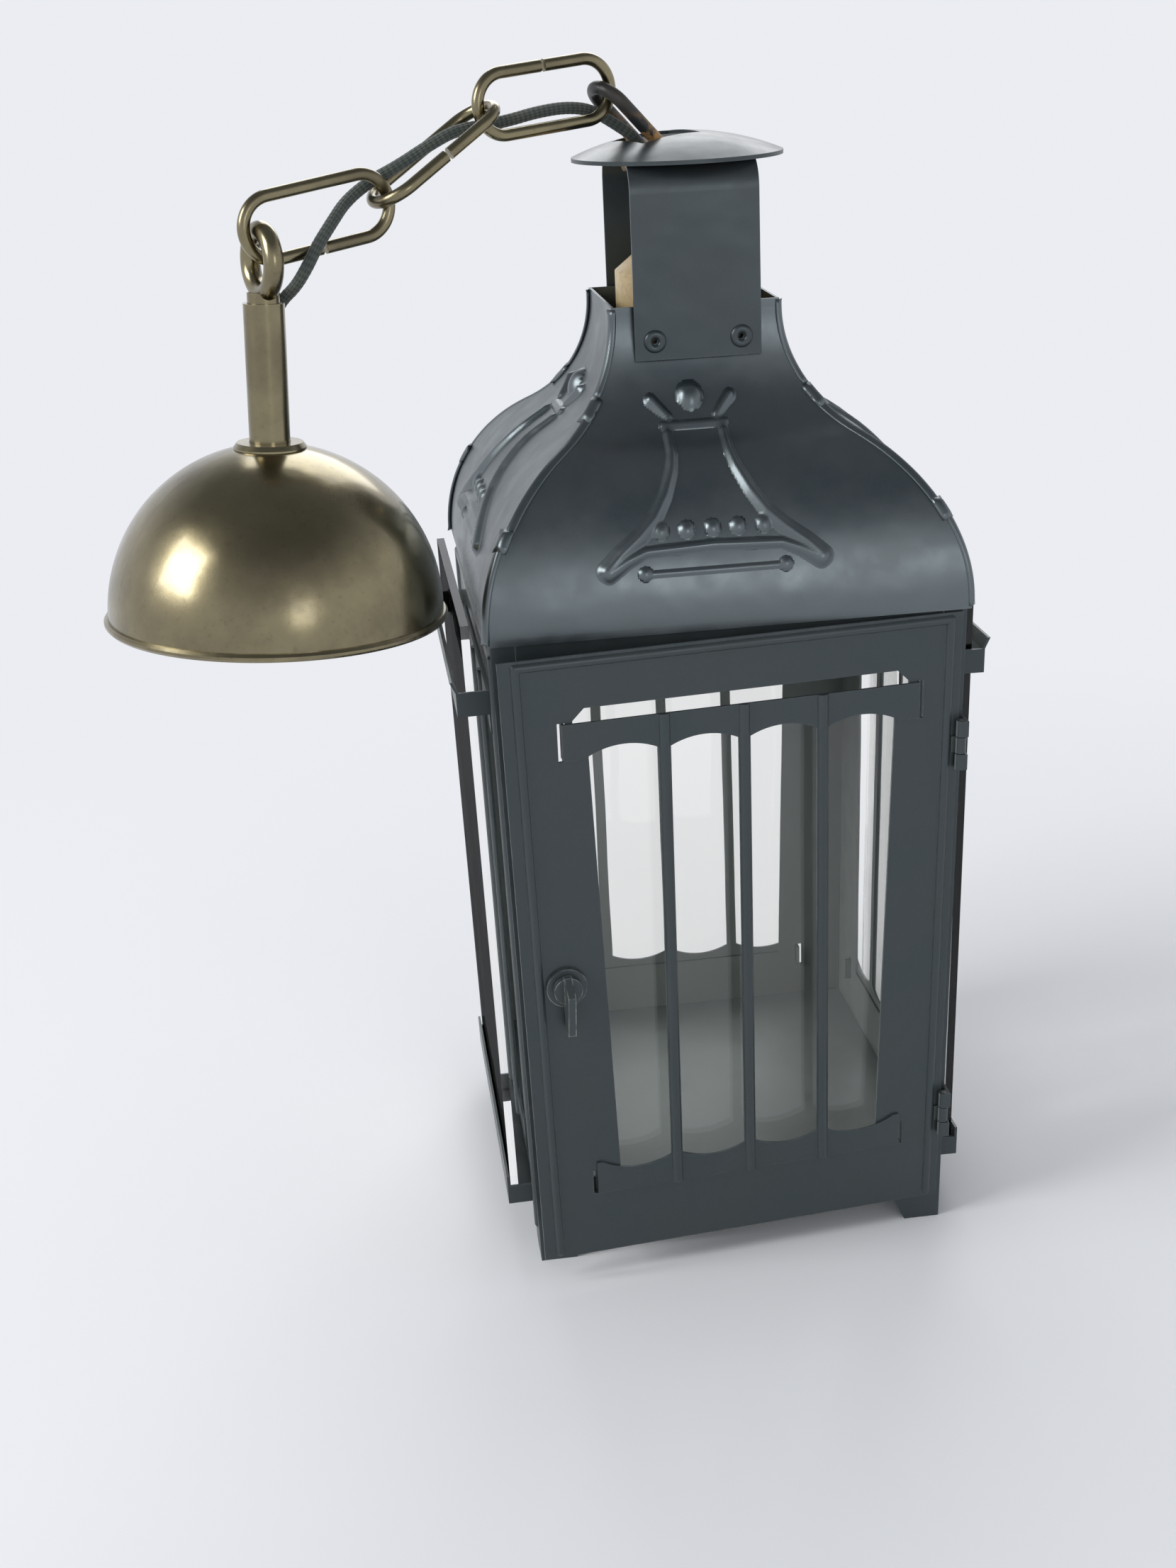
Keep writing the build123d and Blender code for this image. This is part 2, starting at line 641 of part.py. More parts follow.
def bent_strap(outer, bend, top):
    """An upside-down U in the YZ plane with rounded corners, as a filled face."""
    inner = outer - bend
    corner = bend * sin(pi / 4)
    edges = [Line((-outer, NECK_BOTTOM), (-outer, top - bend))]
    edges.append(ThreePointArc((-outer, top - bend), (-inner - corner, top - bend + corner), (-inner, top)))
    edges.append(Line((-inner, top), (inner, top)))
    edges.append(ThreePointArc((inner, top), (inner + corner, top - bend + corner), (outer, top - bend)))
    edges.append(Polyline((outer, top - bend), (outer, NECK_BOTTOM), (-outer, NECK_BOTTOM)))
    return make_face(edges)


def make_neck():
    face = bent_strap(NECK_HALF, NECK_BEND, NECK_TOP)
    face -= bent_strap(NECK_HALF - SHEET, NECK_BEND - SHEET, NECK_TOP - SHEET)
    band = extrude(Plane.YZ * face, NECK_WIDTH / 2, both=True)
    band -= chain_slot(NECK_SLOT_AHEAD, NECK_TOP - 2 * SHEET, NECK_TOP + SHEET)
    rivets = Part()
    seat = ROOF_TOP_HALF - SHEET
    for sign in (-1, 1):
        for x in (-RIVET_SPACING / 2, RIVET_SPACING / 2):
            def along(y):
                return (x, sign * y, RIVET_Z)

            band -= rod(along(NECK_HALF - 2 * SHEET), along(NECK_HALF + SHEET), RIVET_RADIUS + RIVET_CLEARANCE)
            rivet = rod(along(seat - RIVET_HEAD), along(NECK_HALF + RIVET_HEAD), RIVET_RADIUS)
            rivet += rod(along(NECK_HALF), along(NECK_HALF + RIVET_HEAD), RIVET_HEAD_RADIUS)
            rivet += rod(along(seat - RIVET_HEAD), along(seat - GAP), RIVET_HEAD_RADIUS - RIVET_HEAD / 2)
            rivet -= rod(along(seat - 2 * RIVET_HEAD), along(NECK_HALF + 2 * RIVET_HEAD), RIVET_BORE)
            rivets += rivet
    parts["neck_strap"] = band
    parts["neck_rivets"] = rivets


def make_cap():
    rise = CAP_TOP - CAP_RIM_TOP
    radius = (CAP_RADIUS ** 2 + rise ** 2) / (2 * rise)

    def dome(r, drop):
        return (r, CAP_TOP - drop - radius + sqrt(radius ** 2 - r ** 2))

    inner = CAP_RADIUS - CAP_SHEET
    edges = [ThreePointArc(dome(0, 0), dome(CAP_RADIUS / 2, 0), dome(CAP_RADIUS, 0))]
    rim = [(CAP_RADIUS, CAP_RIM_BOTTOM), (inner, CAP_RIM_BOTTOM)]
    edges.append(Polyline(dome(CAP_RADIUS, 0), *rim, dome(inner, CAP_SHEET)))
    edges.append(ThreePointArc(dome(inner, CAP_SHEET), dome(inner / 2, CAP_SHEET), dome(0, CAP_SHEET)))
    edges.append(Line(dome(0, CAP_SHEET), dome(0, 0)))
    shell = revolve(Plane.XZ * make_face(edges), Axis.Z)
    parts["cap"] = shell - chain_slot(CAP_SLOT_AHEAD, CAP_RIM_TOP, CAP_TOP + SHEET)


def make_lampholder():
    reach = NECK_HALF - SHEET - GAP
    across = BRIDGE_WIDTH / 2
    bridge = slab((-across, -reach, BRIDGE_Z), (across, reach, BRIDGE_Z + BRIDGE))
    for sign in (-1, 1):
        low, high = sorted((sign * (reach - BRIDGE), sign * reach))
        bridge += slab((-across, low, BRIDGE_Z), (across, high, BRIDGE_Z + BRIDGE_TAB))
    thread = NIPPLE_RADIUS + THREAD_CLEARANCE
    hole = rod((0, 0, BRIDGE_Z - BRIDGE), (0, 0, BRIDGE_Z + 2 * BRIDGE), thread)
    parts["holder_bridge"] = bridge - hole
    parts["nipple"] = ring(NIPPLE_RADIUS, NIPPLE_BORE, NIPPLE_LOW, NIPPLE_TOP)
    upper = hex_nut(NUT_FLATS, thread, BRIDGE_Z + BRIDGE, BRIDGE_Z + BRIDGE + NUT_HEIGHT)
    lower = hex_nut(NUT_FLATS, thread, BRIDGE_Z - NUT_HEIGHT, BRIDGE_Z)
    parts["nipple_nuts"] = Part() + [upper, lower]

    hood = [
        (thread, HOLDER_TOP), (HOLDER_NECK_RADIUS, HOLDER_TOP), (HOLDER_RADIUS, HOLDER_SHOULDER),
        (HOLDER_RADIUS, HOLDER_SEAM), (HOLDER_RADIUS - HOLDER_WALL, HOLDER_SEAM),
        (HOLDER_RADIUS - HOLDER_WALL, HOLDER_SHOULDER - HOLDER_WALL / 2),
        (HOLDER_NECK_RADIUS - HOLDER_WALL / 2, HOLDER_TOP - HOLDER_WALL), (thread, HOLDER_TOP - HOLDER_WALL),
    ]
    parts["holder_cap"] = revolve(Plane.XZ * make_face(Polyline(*hood, close=True)), Axis.Z)
    shell_outer = SHELL_BORE + SHELL_WALL
    shell_top = HOLDER_MOUTH + SHELL_LENGTH
    cavity = shell_outer + GAP
    roof = HOLDER_SEAM - HOLDER_WALL
    body = ring(HOLDER_BODY_RADIUS, cavity, HOLDER_MOUTH, roof)
    body += ring(HOLDER_BODY_RADIUS, NIPPLE_BORE, roof, HOLDER_SEAM)
    parts["holder_body"] = body
    ring_top = HOLDER_SEAM - GAP
    parts["holder_ring"] = ring(
        HOLDER_RING_RADIUS, HOLDER_BODY_RADIUS + GAP, ring_top - HOLDER_RING_HEIGHT, ring_top)
    shell = ring(shell_outer, SHELL_BORE, HOLDER_MOUTH, shell_top)
    shell += ring(shell_outer, CONTACT_RADIUS + 2 * CONTACT_THICKNESS, shell_top, shell_top + SHELL_WALL)
    parts["screw_shell"] = shell
    parts["centre_contact"] = ring(CONTACT_RADIUS, CONTACT_THICKNESS / 2, shell_top, roof)


# Chain

def link(length, across, wire, cut):
    """A wire link along X from its first end's wire at the origin, open by the cut in its far long side."""
    middle = length / 2
    far = length - across
    path = Wire([
        Edge.make_line((middle + cut / 2, across), (far, across)),
        Edge.make_three_point_arc((far, across), (length, 0), (far, -across)),
        Edge.make_line((far, -across), (across, -across)),
        Edge.make_three_point_arc((across, -across), (0, 0), (across, across)),
        Edge.make_line((across, across), (middle - cut / 2, across)),
    ])
    section = Plane(origin=(middle + cut / 2, across, 0), z_dir=(1, 0, 0)) * Circle(wire)
    return sweep(section, path=path)


def closed_link(length, across, wire):
    """A welded link: the open one with its cut filled."""
    small = wire / 4
    weld = rod((length / 2 - small, across, 0), (length / 2 + small, across, 0), wire)
    return link(length, across, wire, small) + weld


def direction(angle):
    return Vector(cos(radians(angle)), 0, sin(radians(angle)))


SEAT = 2 * WIRE + MOVE_GAP
HANGER_SEAT = WIRE + HANGER_WIRE + MOVE_GAP
EYE_SEAT = WIRE + EYE_WIRE + MOVE_GAP
PIN_Z = NECK_TOP - SHEET - PIN_RADIUS - GAP / 2
HANGER_AT = Vector(0, 0, PIN_Z - PIN_RADIUS - HANGER_WIRE - MOVE_GAP)
LINK_2_AT = HANGER_AT + direction(HANGER_ANGLE) * HANGER_LENGTH
LINK_3_AT = LINK_2_AT + direction(LINK_2_ANGLE) * (LINK_LENGTH - HANGER_SEAT - SEAT)
LINK_4_AT = LINK_3_AT + direction(LINK_3_ANGLE) * LINK_LENGTH
EYE_AT = LINK_4_AT + direction(LINK_4_ANGLE) * (LINK_LENGTH - SEAT - EYE_SEAT)


def make_chain():
    pin_ends = (-SLOT_BEHIND - PIN_OVERHANG, NECK_SLOT_AHEAD + PIN_OVERHANG)
    pin = rod((pin_ends[0], 0, PIN_Z), (pin_ends[1], 0, PIN_Z), PIN_RADIUS)
    parts["hanger_pin"] = CHAIN * pin
    hanger = closed_link(HANGER_LENGTH, HANGER_HALF, HANGER_WIRE)
    parts["hanger_link"] = CHAIN * Pos(HANGER_AT) * Rot(0, -HANGER_ANGLE, 0) * hanger
    wire_link = link(LINK_LENGTH, LINK_HALF, WIRE, LINK_CUT)
    upright = Rot(90, 0, 0) * wire_link
    turned = Rot(-90, 0, 0) * wire_link
    parts["chain_link_2"] = CHAIN * Pos(LINK_2_AT) * Rot(0, -LINK_2_ANGLE, 0) * Pos(-HANGER_SEAT, 0, 0) * upright
    parts["chain_link_3"] = CHAIN * Pos(LINK_3_AT) * Rot(0, -LINK_3_ANGLE, 0) * wire_link
    parts["chain_link_4"] = CHAIN * Pos(LINK_4_AT) * Rot(0, -LINK_4_ANGLE, 0) * Pos(-SEAT, 0, 0) * turned


# Flex

def route_radii(points):
    """The largest bend that each corner's two runs leave room for."""
    radii = []
    for a, b, c in zip(points, points[1:], points[2:]):
        first, second = b - a, c - b
        turn = radians(first.get_angle(second))
        radii.append(RUN_SHARE * min(first.length, second.length) / tan(turn / 2))
    return radii


def flex_stretch(number, radius):
    """One stretch of the flex, from the middle of the run before its points to the middle of the run after."""
    route = [Vector(*p) for stretch in FLEX for p in stretch]
    radii = [None, *route_radii(route), None]
    first = sum(len(stretch) for stretch in FLEX[:number])
    last = first + len(FLEX[number]) - 1
    corners = [k for k in range(first, last + 1) if radii[k] is not None]
    start = route[0] if first == 0 else (route[first - 1] + route[first]) / 2
    end = route[last] if radii[last] is None else (route[last] + route[last + 1]) / 2
    path = FilletPolyline(start, *[route[k] for k in corners], end, radius=[radii[k] for k in corners])
    section = Plane(origin=start, z_dir=route[corners[0]] - start) * Circle(radius)
    return sweep(section, path=path), path.length


def make_flex():
    total = 0
    for number in range(len(FLEX)):
        tube, length = flex_stretch(number, FLEX_RADIUS)
        share = tube.volume / (pi * FLEX_RADIUS ** 2 * length)
        total += length
        print(f"flex {number + 1}: length {length:.1f}, volume over section times length {share:.4f}")
        parts[f"flex_{number + 1}"] = CHAIN * tube
    radii = route_radii([Vector(*p) for stretch in FLEX for p in stretch])
    print(f"flex length {total:.1f}, bend radii", [round(r, 1) for r in radii])


# Stem and ceiling cup

STEM_TOP = -2 * EYE_RADIUS - EYE_WIRE - GAP
CUP_APEX = STEM_TOP - STEM_LENGTH
CUP_MIDDLE = CUP_APEX - CUP_RADIUS


def cup_height(r, radius):
    """Height of the cup's round at a distance r from its axis."""
    return CUP_MIDDLE + sqrt(radius ** 2 - r ** 2)


def make_cup():
    at = CHAIN * Pos(EYE_AT) * Rot(0, -STEM_TILT, 0)
    eye = Pos(0, 0, -EYE_RADIUS) * Rot(0, 90, 0) * Torus(EYE_RADIUS, EYE_WIRE)
    plug = STEM_BORE - GAP
    eye += rod((0, 0, STEM_TOP - STEM_PLUG), (0, 0, STEM_TOP), plug)
    eye += rod((0, 0, STEM_TOP), (0, 0, STEM_TOP + EYE_WIRE), plug)
    parts["stem_eye"] = at * eye

    inner = CUP_RADIUS - CUP_SHEET
    stem_low = CUP_APEX - CUP_SHEET - STEM_THREAD
    stem = at * ring(STEM_RADIUS, STEM_BORE, stem_low, STEM_TOP)
    passage, _ = flex_stretch(FLEX.index(FLEX_AT_STEM), FLEX_RADIUS + FLEX_HOLE_CLEARANCE)
    parts["stem"] = stem - CHAIN * passage

    hole = STEM_RADIUS + GAP
    rim_low = CUP_MIDDLE - CUP_RIM_HEIGHT
    bow = CUP_RADIUS * sin(pi / 4)
    start, finish = asin(hole / CUP_RADIUS), asin(hole / inner)

    def outer_at(angle):
        return (CUP_RADIUS * sin(angle), CUP_MIDDLE + CUP_RADIUS * cos(angle))

    def inner_at(angle):
        return (inner * sin(angle), CUP_MIDDLE + inner * cos(angle))

    edges = [ThreePointArc(outer_at(start), (bow, CUP_MIDDLE + bow), (CUP_RADIUS, CUP_MIDDLE))]
    lip = (CUP_RADIUS + CUP_RIM_RADIUS) / 2
    edges.append(Polyline(
        (CUP_RADIUS, CUP_MIDDLE), (lip, CUP_MIDDLE), (CUP_RIM_RADIUS, CUP_MIDDLE - CUP_RIM_HEIGHT / 3),
        (CUP_RIM_RADIUS, rim_low + CUP_RIM_HEIGHT / 3), (lip, rim_low), (inner, rim_low), (inner, CUP_MIDDLE)))
    edges.append(ThreePointArc((inner, CUP_MIDDLE), inner_at((finish + pi / 2) / 2), inner_at(finish)))
    edges.append(Line(inner_at(finish), outer_at(start)))
    parts["ceiling_cup"] = at * revolve(Plane.XZ * make_face(edges), Axis.Z)

    sag = (WASHER_RADIUS - hole) ** 2 / (8 * CUP_RADIUS) + GAP / 4
    near = cup_height(hole, CUP_RADIUS) + sag
    edge = cup_height(WASHER_RADIUS, CUP_RADIUS) + sag
    flange = [
        (hole, near), (WASHER_RADIUS, edge), (WASHER_RADIUS, edge + WASHER_HEIGHT / 2),
        (WASHER_RADIUS - WASHER_HEIGHT, near + WASHER_HEIGHT), (hole, near + WASHER_HEIGHT),
    ]
    parts["stem_washer"] = at * revolve(Plane.XZ * make_face(Polyline(*flange, close=True)), Axis.Z)
    nut_top = cup_height(CUP_NUT_FLATS / sqrt(3), inner) - GAP
    thread = STEM_RADIUS + THREAD_CLEARANCE
    parts["stem_nut"] = at * hex_nut(CUP_NUT_FLATS, thread, nut_top - CUP_NUT_HEIGHT, nut_top)


def main():
    make_walls()
    make_glazing()
    make_floor()
    make_door()
    make_latch()
    make_roof()
    make_neck()
    make_cap()
    make_lampholder()
    make_chain()
    make_flex()
    make_cup()
    os.makedirs("parts", exist_ok=True)
    for name, shape in parts.items():
        export_step(Pos(0, 0, -FLOOR_TOP) * shape, f"parts/{name}.step")
    print(len(parts), "parts")


main()
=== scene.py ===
# %% [markdown]
# # A square hanging lantern
# The real object is a lantern of black painted sheet: four barred windows with glass, an ogee roof
# with a stamped ornament, an open neck with a lampholder in it, and a brass chain that ends in a
# stem and a ceiling cup. The hard pieces come from the CAD model, which is loaded as a fixed frame
# in metres. This script gives them their finishes and adds what sheet metal and fabric show up
# close: seams, embossing, rivet heads and a braided flex.

# %% Load the frame
from math import cos, pi, radians, sin

import bmesh
import bpy
from mathutils import Matrix, Vector
from mathutils.bvhtree import BVHTree


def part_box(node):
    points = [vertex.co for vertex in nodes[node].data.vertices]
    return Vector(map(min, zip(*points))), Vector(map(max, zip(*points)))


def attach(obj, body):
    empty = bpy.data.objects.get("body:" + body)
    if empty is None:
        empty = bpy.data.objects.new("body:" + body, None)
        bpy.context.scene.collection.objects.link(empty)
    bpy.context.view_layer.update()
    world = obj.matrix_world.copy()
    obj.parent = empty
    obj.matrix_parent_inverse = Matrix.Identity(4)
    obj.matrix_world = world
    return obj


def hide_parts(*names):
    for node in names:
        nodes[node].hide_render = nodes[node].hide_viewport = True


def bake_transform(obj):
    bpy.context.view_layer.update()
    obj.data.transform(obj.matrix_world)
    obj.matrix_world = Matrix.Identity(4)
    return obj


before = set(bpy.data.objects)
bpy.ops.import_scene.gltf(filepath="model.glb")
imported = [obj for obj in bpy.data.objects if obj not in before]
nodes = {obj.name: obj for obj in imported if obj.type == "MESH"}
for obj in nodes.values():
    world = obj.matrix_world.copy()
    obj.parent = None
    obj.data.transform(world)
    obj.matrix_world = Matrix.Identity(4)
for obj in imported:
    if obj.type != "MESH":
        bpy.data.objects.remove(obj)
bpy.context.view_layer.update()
MM = 0.001
FOOT_LEVEL = -19 * MM
print("CAD nodes:", len(nodes))


def from_foot(x, y, z):
    """A place in millimetres above the foot plane, as a point of the frame."""
    return Vector((x * MM, y * MM, z * MM + FOOT_LEVEL))


# %% [markdown]
# ## The camera
# The photograph was taken a little from the left and from above, with the camera slightly rolled. A
# camera could be aimed with a Track To constraint, but its roll would still be free, so its three
# axes are worked out from yaw, pitch and roll and put straight into its matrix.

# %% Camera
PHOTO_HEIGHT = 2212
FOCAL_PIXELS = 2832.16
SENSOR = 36.0
YAW, PITCH, ROLL = radians(6.61), radians(21.15), radians(2.8)
EYE = Vector((-0.10795, -0.62055, 0.36156))

ahead = Vector((sin(YAW) * cos(PITCH), cos(YAW) * cos(PITCH), -sin(PITCH)))
level = Vector((cos(YAW), -sin(YAW), 0))
below = ahead.cross(level)
picture_right = level * cos(ROLL) + below * sin(ROLL)
picture_down = below * cos(ROLL) - level * sin(ROLL)
camera_data = bpy.data.cameras.new("photo_camera")
camera_data.sensor_width = SENSOR
camera_data.lens = FOCAL_PIXELS * SENSOR / PHOTO_HEIGHT
camera = bpy.data.objects.new("photo_camera", camera_data)
axes = Matrix((picture_right, -picture_down, -ahead)).transposed()
camera.matrix_world = Matrix.Translation(EYE) @ axes.to_4x4()
bpy.context.collection.objects.link(camera)
bpy.context.scene.camera = camera
print("lens", round(camera_data.lens, 2), "mm")

# %% [markdown]
# ## The line of the flex
# The flex is a thin fabric-covered cable. It comes out of the lampholder's nipple, leaves through
# the slot in the cap and weaves through the open links down to the stem. Its line is one NURBS
# curve: the points pull the curve towards them without the curve having to pass through them, which
# gives the soft bends of a limp cable.

# %% Flex route
CHAIN_TURN = radians(24)
ALONG_CHAIN = Vector((-cos(CHAIN_TURN), -sin(CHAIN_TURN), 0))
BESIDE_CHAIN = Vector((sin(CHAIN_TURN), -cos(CHAIN_TURN), 0))
FLEX_RADIUS = 1.75 * MM
FLEX_FINENESS = 24
FLEX_ORDER = 3
# for each part of the chain: places along it, beside it and above the feet, in millimetres
FLEX_ROUTE = [
    [(0.0, 0.0, 321.0), (2.4, -1.0, 326.6), (8.6, -3.8, 332.2), (11.0, -3.4, 338.0), (13.2, -1.2, 343.4)],
    [(19.5, -1.8, 347.6), (26.5, -4.4, 352.3), (35.0, -4.3, 353.6), (45.0, -4.4, 352.9)],
    [(55.0, -4.9, 351.0), (64.5, -4.5, 350.2), (73.0, -3.4, 349.6), (82.0, -3.2, 346.0)],
    [(91.0, -3.6, 341.6), (99.2, -5.6, 338.0), (107.6, -4.6, 333.4), (115.0, 1.2, 328.6)],
    [
        (121.6, 4.8, 323.2), (125.0, 4.2, 317.6), (126.6, -1.0, 312.3),
        (129.5, -5.2, 308.5), (134.2, -3.6, 302.5), (136.8, -0.5, 296.0),
    ],
]


def chain_point(along, beside, height):
    """A place in the upright plane of the chain, in millimetres, as a point of the frame."""
    return (ALONG_CHAIN * along + BESIDE_CHAIN * beside) * MM + from_foot(0, 0, height)


legs = [[chain_point(*place) for place in leg] for leg in FLEX_ROUTE]
route = [place for leg in legs for place in leg]
line_data = bpy.data.curves.new("flex_line", "CURVE")
line_data.dimensions = "3D"
line_data.resolution_u = FLEX_FINENESS
spline = line_data.splines.new("NURBS")
spline.points.add(len(route) - 1)
for control, place in zip(spline.points, route):
    control.co = (*place, 1)
spline.order_u = FLEX_ORDER
spline.use_endpoint_u = True
line_object = bpy.data.objects.new("flex_line", line_data)
bpy.context.collection.objects.link(line_object)
line_mesh = bpy.data.meshes.new_from_object(line_object)
flex_line = [vertex.co.copy() for vertex in line_mesh.vertices]
bpy.data.objects.remove(line_object)
bpy.data.curves.remove(line_data)
bpy.data.meshes.remove(line_mesh)
print("points along the flex:", len(flex_line))

# %% [markdown]
# ## Sweeping a loop along a line
# Several pieces are one outline carried along a line: the flex, and the folded seams on the roof's
# hips. An operator exists for each step, so the helper draws a circle, then extrudes its edges once
# for every point of the line and sets the new loop square to the line.

# %% Sweep helper
def new_piece(name, mesh_builder, smooth=True):
    """Puts a finished bmesh into a new object at the origin."""
    mesh = bpy.data.meshes.new(name)
    mesh_builder.to_mesh(mesh)
    mesh_builder.free()
    if smooth:
        mesh.shade_smooth()
    piece = bpy.data.objects.new(name, mesh)
    bpy.context.collection.objects.link(piece)
    return piece


def next_loop(bm, loop):
    """Extrudes a closed loop of vertices and gives the new loop in the same order."""
    edges = [bm.edges.get((loop[k - 1], loop[k])) for k in range(len(loop))]
    made = bmesh.ops.extrude_edge_only(bm, edges=edges)["geom"]
    fresh = {part for part in made if isinstance(part, bmesh.types.BMVert)}
    return [next(e.other_vert(v) for e in v.link_edges if e.other_vert(v) in fresh) for v in loop]


def sweep(bm, centres, sides, ring_shape):
    """Carries a loop along the centres. ring_shape(k, turn) gives one vertex of ring k as an offset."""
    loop = bmesh.ops.create_circle(bm, segments=sides, radius=MM)["verts"]
    first = loop
    for k, centre in enumerate(centres):
        if k:
            loop = next_loop(bm, loop)
        for j, vertex in enumerate(loop):
            vertex.co = centre + ring_shape(k, 2 * pi * j / sides)
    for end in (first, loop):
        bm.faces.new(end)
    bmesh.ops.recalc_face_normals(bm, faces=bm.faces[:])


def carried_axes(centres):
    """Two axes square to a line at each of its points, turned as little as possible along it."""
    axes_along = []
    side = BESIDE_CHAIN
    for k, centre in enumerate(centres):
        before = centres[max(k - 1, 0)]
        after = centres[min(k + 1, len(centres) - 1)]
        tangent = (after - before).normalized()
        side = (side - tangent * side.dot(tangent)).normalized()
        axes_along.append((side, tangent.cross(side)))
    return axes_along


flex_axes = carried_axes(flex_line)
flex_run = [0.0]
for here, there in zip(flex_line, flex_line[1:]):
    flex_run.append(flex_run[-1] + (there - here).length)
print("flex length", round(flex_run[-1], 4), "m")

# %% [markdown]
# ## The braided flex
# The cable's cover is braided from fine threads that cross at a slant. A bump in the material alone
# would leave a perfectly round outline, so the threads also lift the mesh a little. The flex is
# made as five lengths, one along each part of the chain, cut where two parts meet. Each vertex
# keeps its angle and its distance along the cable in an attribute, so that the colour of the threads
# follows the cable.

# %% Flex lengths
FLEX_SIDES = 28
BRAID_TURNS = 7
BRAID_PITCH = 3.2 * MM
BRAID_LIFT = 0.05 * MM


def nearest_index(place):
    """The number of the flex point nearest to a place."""
    return min(range(len(flex_line)), key=lambda k: (flex_line[k] - place).length)


flex_cuts = [0]
for before, after in zip(legs, legs[1:]):
    flex_cuts.append(nearest_index((before[-1] + after[0]) / 2))
flex_cuts.append(len(flex_line) - 1)
flex_pieces = []
for number, (low, high) in enumerate(zip(flex_cuts, flex_cuts[1:]), start=1):
    def braid_ring(k, turn, low=low):
        side, up = flex_axes[low + k]
        slant = 2 * pi * flex_run[low + k] / BRAID_PITCH
        weave = sin(BRAID_TURNS * turn + slant) * sin(BRAID_TURNS * turn - slant)
        return (side * cos(turn) + up * sin(turn)) * (FLEX_RADIUS + BRAID_LIFT * (weave - 1))

    centres = flex_line[low:high + 1]
    bm = bmesh.new()
    sweep(bm, centres, FLEX_SIDES, braid_ring)
    flex = new_piece(f"flex_length_{number}", bm)
    around = flex.data.attributes.new("braid", "FLOAT_VECTOR", "POINT")
    for k in range(len(centres)):
        for j in range(FLEX_SIDES):
            turn = 2 * pi * j / FLEX_SIDES
            around.data[k * FLEX_SIDES + j].vector = (cos(turn), sin(turn), flex_run[low + k])
    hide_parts(f"flex_{number}")
    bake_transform(flex)
    flex_pieces.append(flex)
flex_lengths = [flex_run[high] - flex_run[low] for low, high in zip(flex_cuts, flex_cuts[1:])]
print("flex lengths:", [round(length, 4) for length in flex_lengths])

# %% [markdown]
# ## Folded seams on the roof
# The four roof panels are lapped over each other along the hips, where the edge of one sheet is
# folded over the next. The fold shows as a narrow raised strip with a step where one strip ends
# under the next. The line of a hip is read from the CAD panel by cutting a copy of it level by
# level and taking the corner of each cut.

# %% Hip lines
ROOF_LOW, ROOF_HIGH = 211.6, 297.0
HIP_STEPS = 60
PANEL_MERGE = MM / 100
panel_copy = bmesh.new()
panel_copy.from_mesh(nodes["roof_front"].data)
bmesh.ops.remove_doubles(panel_copy, verts=panel_copy.verts[:], dist=PANEL_MERGE)


def hip_corner(height):
    """The outer right corner of the front roof panel at a height above the feet."""
    cut = panel_copy.copy()
    whole = cut.verts[:] + cut.edges[:] + cut.faces[:]
    level_point = from_foot(0, 0, height)
    made = bmesh.ops.bisect_plane(cut, geom=whole, plane_co=level_point, plane_no=(0, 0, 1))
    places = [part.co for part in made["geom_cut"] if isinstance(part, bmesh.types.BMVert)]
    reach = max(place.x - place.y for place in places)
    cut.free()
    return Vector((reach / 2, -reach / 2, level_point.z))


hip_levels = [ROOF_LOW + (ROOF_HIGH - ROOF_LOW) * k / HIP_STEPS for k in range(HIP_STEPS + 1)]
hip_line = [hip_corner(height) for height in hip_levels]
panel_copy.free()
print("hip from", [round(c, 4) for c in hip_line[0]], "to", [round(c, 4) for c in hip_line[-1]])

# %% Hip seams
SEAM_SIDES = 12
# each strip: lowest and highest level, half width, height above the sheet, shift towards the front
# or side panel
SEAM_STRIPS = [
    (211.6, 240.0, 1.8, 0.8, 0.9),
    (236.5, 243.0, 2.7, 1.25, 0.5),
    (241.0, 271.0, 1.5, 0.6, -0.7),
    (267.0, 274.0, 2.5, 1.15, 0.3),
    (272.0, 297.0, 1.7, 0.75, 0.6),
]
SEAM_SINK = 0.15
SEAM_TAPER = 2.2
SEAM_END = 0.35
SEAM_DROOP = 0.35
QUARTER_TURNS = (0, pi / 2, pi, 3 * pi / 2)


def seam_strip(bm, low, high, half_width, height, shift, turn, mirror):
    """One strip of folded sheet along a hip, thinning into the roof at its two ends."""
    chosen = [place for place, z in zip(hip_line, hip_levels) if low <= z <= high]
    levels = [z for z in hip_levels if low <= z <= high]
    rise = []
    for k in range(len(chosen)):
        before = chosen[max(k - 1, 0)]
        after = chosen[min(k + 1, len(chosen) - 1)]
        rise.append((after - before).normalized())
    corner = Vector((1, -1, 0)).normalized()
    spin = Matrix.Rotation(turn, 4, "Z")

    def ring(k, angle):
        outwards = (corner - rise[k] * corner.dot(rise[k])).normalized()
        across = rise[k].cross(outwards) * mirror
        end = min(levels[k] - low, high - levels[k])
        full = min(1.0, SEAM_END + end / SEAM_TAPER)
        flat = half_width * cos(angle) + shift
        lift = height * full * sin(angle) - SEAM_SINK - SEAM_DROOP * abs(flat) * full
        return spin.to_3x3() @ (across * flat * MM + outwards * lift * MM)

    sweep(bm, [spin @ place for place in chosen], SEAM_SIDES, ring)


seams = []
for number, turn in enumerate(QUARTER_TURNS, start=1):
    bm = bmesh.new()
    mirror = 1 if number % 2 else -1
    for strip in SEAM_STRIPS:
        seam_strip(bm, *strip, turn, mirror)
    seam = new_piece(f"hip_seam_{number}", bm)
    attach(seam, "lantern")
    seams.append(seam)
print("hip seams:", len(seams))

